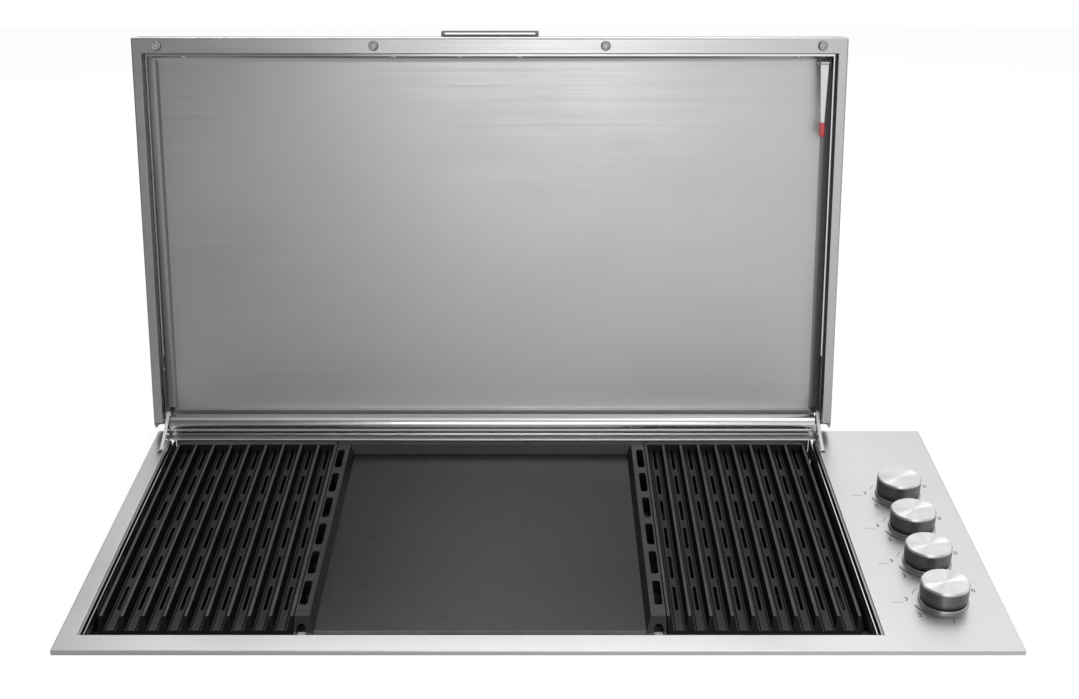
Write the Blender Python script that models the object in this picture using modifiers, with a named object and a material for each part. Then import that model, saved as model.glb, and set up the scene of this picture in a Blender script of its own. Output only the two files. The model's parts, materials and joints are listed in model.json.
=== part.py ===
"""Built-in gas grill: a steel fascia set in a worktop, a hinged lid, two slotted
cast grills, a griddle plate, four burners and a side panel with four push-and-turn knobs.

Frame: metres, +X to the right, +Y to the back, +Z up. The worktop's surface is z = 0, and
the origin is the middle of the fascia's front hem, where it bears on the worktop.
The lid is modelled shut and then opened about its hinge, as it stands at rest.
"""
import math

import bmesh
import bpy
from mathutils import Matrix, Vector

MM = 0.001
DEG = math.pi / 180

# Clearances and overruns
GAP = 0.3 * MM
PIN_FIT = 0.1 * MM
OVERRUN = 2 * MM

# Fascia plate
FASCIA_WIDTH = 1030 * MM
FASCIA_DEPTH = 498 * MM
FASCIA_HEIGHT = 5.5 * MM
SHEET = 1.2 * MM
HEM_WIDTH = 14 * MM
FASCIA_CORNER = 1.0 * MM
LEFT_BORDER = 20.4 * MM
FRONT_BORDER = 28.9 * MM
REAR_BORDER = 24.5 * MM
PANEL_WIDTH = 144 * MM

X_LEFT = -FASCIA_WIDTH / 2
X_RIGHT = FASCIA_WIDTH / 2
Y_FRONT = -HEM_WIDTH / 2
Y_BACK = Y_FRONT + FASCIA_DEPTH
Z_TOP = FASCIA_HEIGHT
CUT_X0 = X_LEFT + LEFT_BORDER
CUT_X1 = X_RIGHT - PANEL_WIDTH
CUT_Y0 = Y_FRONT + FRONT_BORDER
CUT_Y1 = Y_BACK - REAR_BORDER

# Cast grills: fins and slotted bands that run from front to back
FIN_PITCH = 23.25 * MM
COLUMNS = 9
FIN_TOP_WIDTH = 3.2 * MM
FIN_BASE_WIDTH = 9.6 * MM
FIN_HEIGHT = 12.5 * MM
SHOULDER_WIDTH = 1.1 * MM
SHOULDER_HEIGHT = 1.6 * MM
BAND_WIDTH = 8.4 * MM
BAND_HEIGHT = 1.8 * MM
GRILL_PLATE = 4.6 * MM
SLOT_WIDTH = 3.8 * MM
SLOT_LENGTH = 48 * MM
SLOT_PITCH = 64 * MM
SLOT_FROM_BACK = 34.5 * MM
BACK_RIM = 9 * MM
BACK_RIM_SLOPE = 4 * MM
BACK_CORNER = 10 * MM
BACK_CORNER_SHARE = 0.3
FIN_FRONT_SLOPE = 15 * MM
DRAIN_WIDTH = 7.2 * MM
DRAIN_ROOF = 5 * MM
DRAIN_HEIGHT = 2.8 * MM
FRONT_LIP = 3 * MM
GRILL_TOP_DROP = 1.0 * MM
PLAY = 1.2 * MM

# Griddle plate
FLANK_WIDTH = 16.5 * MM
FLANK_SLOPE = 5.6 * MM
WINDOW_WIDTH = 9 * MM
WINDOW_LENGTH = 47.7 * MM
WINDOW_INSET = 6.5 * MM
WINDOW_FROM_BACK = 47.4 * MM
WINDOW_CHAMFER = 2.4 * MM
WINDOW_PITCH = 62.3 * MM
CHANNEL_DEPTH = 2.5 * MM
CHANNEL_WIDTH = 13 * MM
ARCH_RADIUS = 5.2 * MM
ARCH_RUN = 3 * MM
ARCH_STEPS = 6

# Where the three lift-out pieces lie in the firebox
LEFT_GRILL_GAP = 5.6 * MM
RIGHT_GRILL_GAP = 8.9 * MM
FRONT_EDGE_GAP = 21 * MM
BACK_EDGE_GAP = 4 * MM
GRILL_TOP_Z = Z_TOP - GRILL_TOP_DROP
VALLEY_Z = GRILL_TOP_Z - FIN_HEIGHT
GRILL_BOTTOM_Z = VALLEY_Z - GRILL_PLATE
GRILL_Y0 = CUT_Y0 + FRONT_EDGE_GAP
GRILL_Y1 = CUT_Y1 - BACK_EDGE_GAP
GRILL_DEPTH = GRILL_Y1 - GRILL_Y0
FIN_END_Y = GRILL_Y0 + FIN_FRONT_SLOPE
GRILL_WIDTH = COLUMNS * FIN_PITCH + FIN_TOP_WIDTH
ROW_DEPTH = GRILL_DEPTH - FIN_FRONT_SLOPE - ARCH_RUN

# Firebox of folded sheet
TRIM_WIDTH = 8.5 * MM
BEAD_WIDTH = 3.2 * MM
FLANGE_UNDERLAP = 4.8 * MM
FRONT_SHELF = 32 * MM
REAR_SHELF = 22 * MM
SIDE_SHELF = 10 * MM
SIDE_SHELF_DROP = 30 * MM
FIREBOX_DEPTH = 142 * MM
RUNNER_WIDTH = 13 * MM
FLANGE_Z = Z_TOP - SHEET - GAP - SHEET / 2
BEAD_Z = Z_TOP - SHEET / 2
SHELF_Z = GRILL_BOTTOM_Z - GAP - SHEET / 2
SIDE_SHELF_Z = SHELF_Z - SIDE_SHELF_DROP
WALL_X0 = CUT_X0 + TRIM_WIDTH - SHEET / 2
WALL_X1 = CUT_X1 - TRIM_WIDTH + SHEET / 2
WALL_Y0 = CUT_Y0 - SHEET / 2
WALL_Y1 = CUT_Y1 + SHEET / 2
LOWER_X0 = WALL_X0 + SIDE_SHELF
LOWER_X1 = WALL_X1 - SIDE_SHELF
LOWER_Y0 = WALL_Y0 + FRONT_SHELF
LOWER_Y1 = WALL_Y1 - REAR_SHELF
FIREBOX_BOTTOM = -FIREBOX_DEPTH
RUNNER_Z = FIREBOX_BOTTOM + SHEET / 2

# Drip tray
TRAY_SHEET = 1.0 * MM
TRAY_HEIGHT = 26 * MM
TRAY_SIDE_PLAY = 1.5 * MM
TRAY_TOP_PLAY = 1.5 * MM
TRAY_LIP = 14 * MM
TRAY_TRAVEL = 300 * MM
TRAY_Z0 = RUNNER_Z + SHEET / 2 + GAP
TRAY_Z1 = TRAY_Z0 + TRAY_HEIGHT

# Burners, their flame tamers, and the valves that feed them
BURNER_COUNT = 4
BURNER_RADIUS = 16 * MM
BURNER_NECK_RADIUS = 11 * MM
BURNER_NECK = 34 * MM
BURNER_CONE = 26 * MM
BURNER_WALL = 1.5 * MM
BURNER_TONGUE_WIDTH = 16 * MM
BURNER_TONGUE = 3 * MM
BURNER_DROP = 24 * MM
BURNER_SIDES = 14
AIR_PORT_LENGTH = 12 * MM
AIR_PORT_WIDTH = 7 * MM
TAMER_WIDTH = 46 * MM
TAMER_HEIGHT = 19 * MM
TAMER_APEX = 7 * MM
TAMER_SHEET = 1.5 * MM
TAMER_FOOT = 7 * MM
TAMER_SLOTS = 4
TAMER_SLOT_LENGTH = 90 * MM
TAMER_SLOT_HEIGHT = 5 * MM

# Control panel: knobs, bezels and valves
KNOB_INSET = 65 * MM
FIRST_KNOB_SETBACK = 94 * MM
KNOB_PITCH = 78 * MM
KNOB_RADIUS = 27 * MM
KNOB_BASE_RADIUS = 26.6 * MM
KNOB_HEIGHT = 19 * MM
KNOB_CHAMFER = 1.6 * MM
KNOB_WALL = 2.4 * MM
KNOB_TOP_THICKNESS = 3 * MM
KNOB_HUB_RADIUS = 7 * MM
KNOB_BORE_DEPTH = 13 * MM
KNOB_LIFT = 2.8 * MM
PUSH_TRAVEL = 2.5 * MM
BEZEL_RADIUS = 28 * MM
BEZEL_BORE = 22 * MM
BEZEL_HEIGHT = 2.4 * MM
BEZEL_EDGE = 0.7 * MM
STEM_RADIUS = 3 * MM
STEM_FLAT = 0.6 * MM
STEM_HOLE_PLAY = 1.6 * MM
TONGUE_WIDTH = 2.2 * MM
TONGUE_LENGTH = 6 * MM
VALVE_RADIUS = 11 * MM
VALVE_HEIGHT = 42 * MM
VALVE_CAP = 4 * MM
VALVE_FLOOR = 5 * MM
PLUG_TOP_RADIUS = 6 * MM
PLUG_BASE_RADIUS = 4.6 * MM
PLUG_HEIGHT = 27 * MM
NOZZLE_RADIUS = 5 * MM
NOZZLE_LENGTH = 15 * MM
ORIFICE_RADIUS = 1.6 * MM
ORIFICE_DEPTH = 6 * MM
INLET_RADIUS = 6 * MM
INLET_LENGTH = 7 * MM
MANIFOLD_RADIUS = 9.5 * MM
FITTING_FROM_END = 52 * MM
FITTING_COLLAR_RADIUS = 12 * MM
FITTING_COLLAR_HEIGHT = 9 * MM
FITTING_THREAD_RADIUS = 10 * MM
FITTING_LENGTH = 46 * MM
FITTING_BORE = 6.5 * MM
ROUND_SIDES = 24
SMALL_SIDES = 12
KNOB_X = X_RIGHT - KNOB_INSET
BURNER_Z = SIDE_SHELF_Z - BURNER_DROP
MANIFOLD_X = KNOB_X + VALVE_RADIUS + INLET_LENGTH + GAP + MANIFOLD_RADIUS

# Control housing
HOUSING_SHEET = 1.0 * MM
HOUSING_SIDE_GAP = 4 * MM
HOUSING_END_GAP = 6 * MM
HOUSING_DEPTH = 100 * MM
HOUSING_FLANGE = 6 * MM
NECK_CLEARANCE = 1.5 * MM
HOUSING_X0 = CUT_X1 + FLANGE_UNDERLAP + HOUSING_SIDE_GAP
HOUSING_X1 = X_RIGHT - HEM_WIDTH - HOUSING_SIDE_GAP
HOUSING_Y0 = Y_FRONT + HEM_WIDTH + HOUSING_END_GAP
HOUSING_Y1 = Y_BACK - HEM_WIDTH - HOUSING_END_GAP
HOUSING_TOP = Z_TOP - SHEET - GAP
HOUSING_BOTTOM = HOUSING_TOP - HOUSING_DEPTH
IGNITER_SIZE = (60 * MM, 34 * MM, 26 * MM)
IGNITER_FROM_BACK = 14 * MM
IGNITER_EDGE = 2 * MM

# Lid, sizes as it lies shut
LID_PANEL_LAP = 21 * MM
LID_REAR_LAP = 17 * MM
LID_DEPTH = 42 * MM
BUMPER_HEIGHT = 4.4 * MM
RIM_FRONT = 20 * MM
RIM_SIDE = 12 * MM
REAR_HEM = 16 * MM
REAR_CHAMFER = 9 * MM
LID_CORNER = 2.5 * MM
LINER_SHEET = 0.8 * MM
LINER_DEPTH = 38 * MM
LINER_RIM_DEPTH = 12 * MM
LINER_RETURN = 2.8 * MM
LINER_NOTCH = 80 * MM
LINER_REAR_SETBACK = 19 * MM
LINER_HEM = 9 * MM
OPEN_ANGLE = 101.3 * DEG
PIVOT_ABOVE_RIM = 19.5 * MM
PIVOT_FROM_REAR = 15.6 * MM
LID_WIDTH = FASCIA_WIDTH - PANEL_WIDTH + LID_PANEL_LAP
LID_LENGTH = FASCIA_DEPTH + LID_REAR_LAP
LID_X0 = X_LEFT
LID_X1 = X_LEFT + LID_WIDTH
LID_MID_X = (LID_X0 + LID_X1) / 2
LID_Y0 = Y_FRONT
LID_Y1 = Y_FRONT + LID_LENGTH
RIM_Z = Z_TOP + BUMPER_HEIGHT
LID_Z1 = RIM_Z + LID_DEPTH
PIVOT = Vector((LID_MID_X, LID_Y1 - PIVOT_FROM_REAR, RIM_Z + PIVOT_ABOVE_RIM))

# Lid furniture
BUMPER_RADIUS = 6.2 * MM
BUMPER_SETBACK = 10.3 * MM
BUMPER_INSET = 32.5 * MM
BUMPER_INNER = 146.7 * MM
HANDLE_WIDTH = 124 * MM
HANDLE_REACH = 7.3 * MM
HANDLE_BAR = 2 * MM
HANDLE_DEPTH = 16 * MM
HANDLE_BASE = 1.2 * MM
HANDLE_ABOVE_RIM = 12 * MM
HANDLE_CORNER = 1.2 * MM
BRACKET_INSET = 16.5 * MM
BRACKET_THICKNESS = 4.5 * MM
BRACKET_TOE = 58 * MM
BRACKET_KNEE = 29 * MM
BRACKET_KNEE_RISE = 13.4 * MM
BRACKET_TOE_RISE = 1.6 * MM
EYE_RADIUS = 5.2 * MM
PIN_RADIUS = 2.5 * MM
PIN_HEAD_RADIUS = 4.4 * MM
PIN_HEAD = 1.8 * MM
ARM_THICKNESS = 2.6 * MM
ARM_REACH = 62 * MM
ARM_TAIL = 8 * MM
ARM_DROP = 8 * MM
PROP_INSET = 26.5 * MM
PROP_SETBACK = 32 * MM
PROP_ABOVE_RIM = 15 * MM
PROP_LENGTH = 76 * MM
PROP_ROOT_WIDTH = 10.5 * MM
PROP_TIP_WIDTH = 4.2 * MM
PROP_THICKNESS = 2.6 * MM
PROP_PIN_RADIUS = 1.6 * MM
PROP_BARREL_RADIUS = 3.2 * MM
PROP_EAR = 1.5 * MM
PROP_EAR_WIDTH = 9 * MM
SLEEVE_LENGTH = 18 * MM
SLEEVE_RADIUS = 3.8 * MM
SLEEVE_COVER = 11 * MM

# Rear deflector
ROLL_RADIUS = 11.2 * MM
ROLL_SHEET = 1.0 * MM
ROLL_SETBACK = 6 * MM
ROLL_RISE = 15.3 * MM
ROLL_LEG_SETBACK = 1.6 * MM
ROLL_FOOT = 7 * MM
ROLL_FROM_DEG = 250
ROLL_TO_DEG = 62
ROLL_STEPS = 9

PARTS = None
CUTTERS = None


def clear_scene():
    """Remove whatever the scene holds."""
    for thing in list(bpy.data.objects):
        bpy.data.objects.remove(thing, do_unlink=True)


def new_collection(name):
    """A collection linked to the scene."""
    collection = bpy.data.collections.new(name)
    bpy.context.scene.collection.children.link(collection)
    return collection


def new_material(name, colour, metallic, roughness):
    """A Principled BSDF material."""
    material = bpy.data.materials.new(name)
    material.use_nodes = True
    shader = material.node_tree.nodes["Principled BSDF"]
    shader.inputs["Base Color"].default_value = (*colour, 1)
    shader.inputs["Metallic"].default_value = metallic
    shader.inputs["Roughness"].default_value = roughness
    return material


def new_empty(name, location, rotation=(0, 0, 0), parent=None):
    """An empty that marks a joint's axis."""
    empty = bpy.data.objects.new(name, None)
    PARTS.objects.link(empty)
    empty.parent = parent
    empty.location = location
    empty.rotation_euler = rotation
    return empty


def add_object(name, mesh, material=None, location=(0, 0, 0), parent=None):
    """A part in the parts collection, or a cutter where it has no material."""
    thing = bpy.data.objects.new(name, mesh)
    if material is None:
        CUTTERS.objects.link(thing)
        thing.hide_render = True
        thing.display_type = "WIRE"
    else:
        PARTS.objects.link(thing)
        mesh.materials.append(material)
    thing.parent = parent
    thing.location = location
    return thing


def mesh_from(name, bm):
    """Store a bmesh as a mesh with its faces pointing out."""
    bmesh.ops.recalc_face_normals(bm, faces=bm.faces)
    mesh = bpy.data.meshes.new(name)
    bm.to_mesh(mesh)
    bm.free()
    return mesh


def add_box(bm, low, high):
    """Add a box between two corners."""
    low, high = Vector(low), Vector(high)
    size = high - low
    place = Matrix.Translation((low + high) / 2) @ Matrix.Diagonal((*size, 1))
    return bmesh.ops.create_cube(bm, size=1, matrix=place)["verts"]


def box_mesh(name, low, high):
    """A mesh of one box."""
    bm = bmesh.new()
    add_box(bm, low, high)
    return mesh_from(name, bm)


def boxes_mesh(name, boxes):
    """A mesh of several separate boxes."""
    bm = bmesh.new()
    for low, high in boxes:
        add_box(bm, low, high)
    return mesh_from(name, bm)


def rod_mesh(name, start, end, radius, sides, end_radius=None):
    """A round bar or cone from one point to another."""
    start, end = Vector(start), Vector(end)
    along = end - start
    turn = along.to_track_quat("Z", "Y").to_matrix().to_4x4()
    place = Matrix.Translation((start + end) / 2) @ turn
    bm = bmesh.new()
    bmesh.ops.create_cone(bm, cap_ends=True, segments=sides, radius1=radius,
                          radius2=radius if end_radius is None else end_radius,
                          depth=along.length, matrix=place)
    return mesh_from(name, bm)


def shade(thing, angle=35 * DEG):
    """Smooth shading with sharp edges kept."""
    thing.data.shade_smooth()
    thing.data.set_sharp_from_angle(angle=angle)
    return thing


def cut(thing, cutter, operation="DIFFERENCE"):
    """Cut, or join, one solid with another."""
    step = thing.modifiers.new(operation.lower(), "BOOLEAN")
    step.operation = operation
    step.object = cutter
    return thing


def join(thing, helper):
    """Weld a helper solid to a part."""
    return cut(thing, helper, "UNION")


def thicken(thing, thickness, offset):
    """Give a sheet its thickness."""
    step = thing.modifiers.new("sheet", "SOLIDIFY")
    step.thickness = thickness
    step.offset = offset
    step.use_even_offset = True
    return thing


def round_edges(thing, width, segments=2, angle=50 * DEG):
    """Round the folds of a part."""
    step = thing.modifiers.new("folds", "BEVEL")
    step.width = width
    step.segments = segments
    step.limit_method = "ANGLE"
    step.angle_limit = angle
    return thing


PLANES = {
    "X": Matrix(((0, 0, 1, 0), (1, 0, 0, 0), (0, 1, 0, 0), (0, 0, 0, 1))),
    "Y": Matrix(((1, 0, 0, 0), (0, 0, -1, 0), (0, 1, 0, 0), (0, 0, 0, 1))),
    "Z": Matrix.Identity(4),
}


def plane_point(axis, point, along):
    """World place of a point drawn in the plane square to an axis.

    A drawing square to X is in (Y, Z), square to Y in (X, Z), square to Z in (X, Y).
    """
    first, second = point
    return {"X": Vector((along, first, second)),
            "Y": Vector((first, along, second)),
            "Z": Vector((first, second, along))}[axis]


def folded_sheet(name, material, axis, path, start, end, thickness, parent=None, location=(0, 0, 0)):
    """A sheet whose cross-section follows a path and runs along an axis."""
    bm = bmesh.new()
    verts = [bm.verts.new(plane_point(axis, point, start)) for point in path]
    edges = [bm.edges.new(pair) for pair in zip(verts, verts[1:])]
    grown = bmesh.ops.extrude_edge_only(bm, edges=edges)["geom"]
    fresh = [item for item in grown if isinstance(item, bmesh.types.BMVert)]
    shift = plane_point(axis, (0, 0), end - start)
    bmesh.ops.translate(bm, verts=fresh, vec=shift)
    thing = add_object(name, mesh_from(name, bm), material, location, parent)
    return thicken(thing, thickness, 0)


def outline_mesh(name, axis, outlines, start, end):
    """Flat outlines made slabs between two places on an axis, with one face at each end."""
    curve = bpy.data.curves.new(name, "CURVE")
    curve.dimensions = "2D"
    curve.fill_mode = "BOTH"
    curve.extrude = abs(end - start) / 2
    for points in outlines:
        spline = curve.splines.new("POLY")
        spline.points.add(len(points) - 1)
        for slot, (first, second) in zip(spline.points, points):
            slot.co = (first, second, 0, 1)
        spline.use_cyclic_u = True
    drawn = bpy.data.objects.new(name, curve)
    PARTS.objects.link(drawn)
    middle = (start + end) / 2
    bpy.context.view_layer.update()
    evaluated = drawn.evaluated_get(bpy.context.evaluated_depsgraph_get())
    mesh = bpy.data.meshes.new_from_object(evaluated)
    mesh.transform(Matrix.Translation(plane_point(axis, (0, 0), middle)) @ PLANES[axis])
    bpy.data.objects.remove(drawn)
    bm = bmesh.new()
    bm.from_mesh(mesh)
    bmesh.ops.remove_doubles(bm, verts=bm.verts, dist=GAP / 100)
    bpy.data.meshes.remove(mesh)
    number = "XYZ".index(axis)
    for vert in bm.verts:
        vert.co[number] = start if vert.co[number] < middle else end
    for low in (True, False):
        cap = [face for face in bm.faces
               if all((vert.co[number] < middle) == low for vert in face.verts)]
        bmesh.ops.dissolve_faces(bm, faces=cap)
    return mesh_from(name, bm)


def repeated_mesh(name, outline, low, high, places):
    """Slabs of one outline, upright between two heights, at each place."""
    slab = outline_mesh(name, "Z", [outline], low, high)
    bm = bmesh.new()
    for place in places:
        known = len(bm.verts)
        bm.from_mesh(slab)
        bmesh.ops.translate(bm, verts=bm.verts[known:], vec=(*place, 0))
    bpy.data.meshes.remove(slab)
    return mesh_from(name, bm)


def turned(name, material, profile, sides, location=(0, 0, 0), parent=None, closed=False):
    """A turned part: a profile in (radius, height) screwed once round Z."""
    bm = bmesh.new()
    verts = [bm.verts.new((radius, 0, height)) for radius, height in profile]
    pairs = list(zip(verts, verts[1:]))
    if closed:
        pairs.append((verts[-1], verts[0]))
    for pair in pairs:
        bm.edges.new(pair)
    mesh = bpy.data.meshes.new(name)
    bm.to_mesh(mesh)
    bm.free()
    thing = add_object(name, mesh, material, location, parent)
    step = thing.modifiers.new("turn", "SCREW")
    step.axis = "Z"
    step.angle = math.tau
    step.steps = sides
    step.render_steps = sides
    step.use_merge_vertices = True
    step.merge_threshold = GAP / 100
    return thing


def arc(centre, radius, from_deg, to_deg, steps):
    """Points along an arc, ends included."""
    turns = [from_deg + (to_deg - from_deg) * step / steps for step in range(steps + 1)]
    return [(centre[0] + radius * math.cos(turn * DEG), centre[1] + radius * math.sin(turn * DEG))
            for turn in turns]


def chamfered(low, high, chamfer):
    """A rectangle's outline with its four corners cut off."""
    (x0, y0), (x1, y1) = low, high
    return [(x0 + chamfer, y0), (x1 - chamfer, y0), (x1, y0 + chamfer), (x1, y1 - chamfer),
            (x1 - chamfer, y1), (x0 + chamfer, y1), (x0, y1 - chamfer), (x0, y0 + chamfer)]


def make_materials():
    """The finishes, one name each."""
    return {
        "brushed": new_material("brushed_steel", (0.62, 0.62, 0.63), 1.0, 0.34),
        "liner": new_material("liner_steel", (0.50, 0.50, 0.51), 1.0, 0.42),
        "polished": new_material("polished_steel", (0.75, 0.75, 0.76), 1.0, 0.16),
        "cast": new_material("cast_iron_enamel", (0.035, 0.035, 0.037), 0.0, 0.42),
        "galvanised": new_material("galvanised_sheet", (0.42, 0.43, 0.44), 1.0, 0.5),
        "burner": new_material("burner_steel", (0.46, 0.44, 0.42), 1.0, 0.45),
        "brass": new_material("brass", (0.62, 0.45, 0.20), 1.0, 0.35),
        "knob": new_material("turned_metal", (0.72, 0.72, 0.73), 1.0, 0.22),
        "rubber": new_material("grey_rubber", (0.33, 0.33, 0.33), 0.0, 0.6),
        "silicone": new_material("red_silicone", (0.42, 0.04, 0.05), 0.0, 0.5),
        "plastic": new_material("black_plastic", (0.02, 0.02, 0.02), 0.0, 0.5),
    }


def make_fascia(finish):
    """The worktop plate: a sheet turned down and hemmed in all round, with its cut-outs."""
    bm = bmesh.new()
    corners = [(X_LEFT, Y_FRONT), (X_RIGHT, Y_FRONT), (X_RIGHT, Y_BACK), (X_LEFT, Y_BACK)]
    face = bm.faces.new([bm.verts.new((x, y, Z_TOP)) for x, y in corners])
    edges = list(face.edges)
    for inward, z in ((0, 0), (HEM_WIDTH, 0)):
        grown = bmesh.ops.extrude_edge_only(bm, edges=edges)["geom"]
        edges = [item for item in grown if isinstance(item, bmesh.types.BMEdge)]
        for vert in {vert for edge in edges for vert in edge.verts}:
            vert.co.x = math.copysign(X_RIGHT - inward, vert.co.x)
            vert.co.y = Y_FRONT + inward if vert.co.y < FASCIA_DEPTH / 2 else Y_BACK - inward
            vert.co.z = z
    mesh = mesh_from("fascia_plate", bm)
    plate = add_object("fascia_plate", mesh, finish["brushed"])
    if mesh.polygons[0].normal.z < 0:
        mesh.flip_normals()
    round_edges(plate, FASCIA_CORNER)
    thicken(plate, SHEET, -1)
    low = (CUT_X0, CUT_Y0, Z_TOP - SHEET - OVERRUN)
    high = (CUT_X1, CUT_Y1, Z_TOP + OVERRUN)
    cut(plate, add_object("fascia_opening", box_mesh("fascia_opening", low, high)))
    for index, y in enumerate(knob_places()):
        hole = rod_mesh("stem_hole", (KNOB_X, y, Z_TOP - SHEET - OVERRUN),
                        (KNOB_X, y, Z_TOP + OVERRUN), STEM_RADIUS + STEM_HOLE_PLAY, SMALL_SIDES)
        cut(plate, add_object(f"stem_hole_{index + 1}", hole))


def knob_places():
    """Each knob's place from front to back."""
    return [Y_FRONT + FIRST_KNOB_SETBACK + KNOB_PITCH * index for index in range(BURNER_COUNT)]


def make_side_wall(name, finish, side):
    """One side of the firebox: trim flange, bead, shelf and the tray's runner."""
    wall = WALL_X0 if side < 0 else WALL_X1
    edge = CUT_X0 if side < 0 else CUT_X1
    inward = -side
    path = [(edge + side * FLANGE_UNDERLAP, FLANGE_Z),
            (wall + side * BEAD_WIDTH, FLANGE_Z),
            (wall + side * BEAD_WIDTH * 0.7, BEAD_Z),
            (wall + side * BEAD_WIDTH * 0.2, BEAD_Z),
            (wall, FLANGE_Z),
            (wall, SIDE_SHELF_Z),
            (wall + inward * SIDE_SHELF, SIDE_SHELF_Z),
            (wall + inward * SIDE_SHELF, RUNNER_Z),
            (wall + inward * (SIDE_SHELF + RUNNER_WIDTH), RUNNER_Z)]
    panel = folded_sheet(name, finish["galvanised"], "Y", path, CUT_Y0 + GAP, CUT_Y1 - GAP, SHEET)
    half = SHEET / 2 + GAP
    under = SHELF_Z - half
    reach = SIDE_SHELF + RUNNER_WIDTH + OVERRUN
    x0, x1 = sorted((wall + side * OVERRUN, wall + inward * reach))
    front = ((x0, CUT_Y0 - OVERRUN, FIREBOX_BOTTOM - OVERRUN), (x1, LOWER_Y0 + half, under))
    back = ((x0, LOWER_Y1 - half, FIREBOX_BOTTOM - OVERRUN), (x1, CUT_Y1 + OVERRUN, under))
    cut(panel, add_object(name + "_ends", boxes_mesh(name + "_ends", (front, back))))
    return panel


def make_firebox(finish):
    """Four folded walls: the front and back carry the grills on a shelf."""
    left = make_side_wall("firebox_left", finish, -1)
    right = make_side_wall("firebox_right", finish, 1)
    x0 = WALL_X0 + SHEET / 2 + GAP
    x1 = WALL_X1 - SHEET / 2 - GAP
    front = [(WALL_Y0 - FLANGE_UNDERLAP, FLANGE_Z), (WALL_Y0, FLANGE_Z), (WALL_Y0, SHELF_Z),
             (LOWER_Y0, SHELF_Z), (LOWER_Y0, TRAY_Z1 + TRAY_TOP_PLAY)]
    folded_sheet("firebox_front", finish["galvanised"], "X", front, x0, x1, SHEET)
    back = [(WALL_Y1 + FLANGE_UNDERLAP, FLANGE_Z), (WALL_Y1, FLANGE_Z), (WALL_Y1, SHELF_Z),
            (LOWER_Y1, SHELF_Z), (LOWER_Y1, FIREBOX_BOTTOM)]
    folded_sheet("firebox_rear", finish["galvanised"], "X", back, x0, x1, SHEET)
    for index, y in enumerate(burner_places()):
        start = (LOWER_X1 - OVERRUN, y, BURNER_Z)
        end = (LOWER_X1 + OVERRUN, y, BURNER_Z)
        hole = rod_mesh("neck_hole", start, end, BURNER_NECK_RADIUS + GAP, BURNER_SIDES)
        cut(right, add_object(f"neck_hole_{index + 1}", hole))
        half = BURNER_TONGUE_WIDTH / 2 + GAP
        high = BURNER_TONGUE / 2 + GAP
        slot = box_mesh("tongue_slot", (LOWER_X0 - OVERRUN, y - half, BURNER_Z - high),
                        (LOWER_X0 + OVERRUN, y + half, BURNER_Z + high))
        cut(left, add_object(f"tongue_slot_{index + 1}", slot))


def burner_places():
    """Each burner lies in line with its own valve."""
    return knob_places()


def make_burner(index, y, finish):
    """A round burner tube with a venturi neck at the valve end and a tongue at the other."""
    neck_end = KNOB_X - VALVE_RADIUS - NOZZLE_LENGTH + ORIFICE_DEPTH / 2
    body_end = LOWER_X1 - SHEET / 2 - GAP - BURNER_CONE
    far_end = LOWER_X0 + SHEET / 2 + GAP
    length = neck_end - far_end
    cone = neck_end - body_end
    neck_bore = BURNER_NECK_RADIUS - BURNER_WALL
    body_bore = BURNER_RADIUS - BURNER_WALL
    profile = [(0, BURNER_WALL), (body_bore, BURNER_WALL),
               (body_bore, length - cone), (neck_bore, length - cone + BURNER_CONE),
               (neck_bore, length), (BURNER_NECK_RADIUS, length),
               (BURNER_NECK_RADIUS, length - cone + BURNER_CONE), (BURNER_RADIUS, length - cone),
               (BURNER_RADIUS, 0), (0, 0)]
    name = f"burner_{index}"
    tube = turned(name, finish["burner"], profile, BURNER_SIDES, (far_end, y, BURNER_Z))
    tube.rotation_euler = (0, math.pi / 2, 0)
    half = BURNER_TONGUE_WIDTH / 2
    tongue = box_mesh(name + "_tongue",
                      (LOWER_X0 - SHEET / 2 - OVERRUN, y - half, BURNER_Z - BURNER_TONGUE / 2),
                      (far_end + BURNER_WALL / 2, y + half, BURNER_Z + BURNER_TONGUE / 2))
    join(tube, add_object(name + "_tongue", tongue))
    port_x = neck_end - OVERRUN - AIR_PORT_LENGTH
    low = (port_x, y - BURNER_RADIUS - OVERRUN, BURNER_Z - AIR_PORT_WIDTH / 2)
    high = (port_x + AIR_PORT_LENGTH, y + BURNER_RADIUS + OVERRUN, BURNER_Z + AIR_PORT_WIDTH / 2)
    cut(tube, add_object(name + "_air_ports", box_mesh(name + "_air_ports", low, high)))


def make_flame_tamer(index, y, finish):
    """A roof of sheet over one burner, with a row of louvres in each slope."""
    base = SIDE_SHELF_Z + SHEET / 2 + GAP + TAMER_SHEET / 2
    half = TAMER_WIDTH / 2
    top = base + TAMER_HEIGHT
    path = [(y - half - TAMER_FOOT, base), (y - half, base), (y - TAMER_APEX / 2, top),
            (y + TAMER_APEX / 2, top), (y + half, base), (y + half + TAMER_FOOT, base)]
    x0 = WALL_X0 + SHEET / 2 + GAP
    x1 = WALL_X1 - SHEET / 2 - GAP
    name = f"flame_tamer_{index}"
    roof = folded_sheet(name, finish["burner"], "X", path, x0, x1, TAMER_SHEET)
    span = (x1 - x0) / TAMER_SLOTS
    middle = base + TAMER_HEIGHT / 2
    slots = []
    for step in range(TAMER_SLOTS):
        centre = x0 + span * (step + 0.5)
        slots.append(((centre - TAMER_SLOT_LENGTH / 2, y - half, middle - TAMER_SLOT_HEIGHT / 2),
                      (centre + TAMER_SLOT_LENGTH / 2, y + half, middle + TAMER_SLOT_HEIGHT / 2)))
    cut(roof, add_object(name + "_louvres", boxes_mesh(name + "_louvres", slots)))


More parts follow.
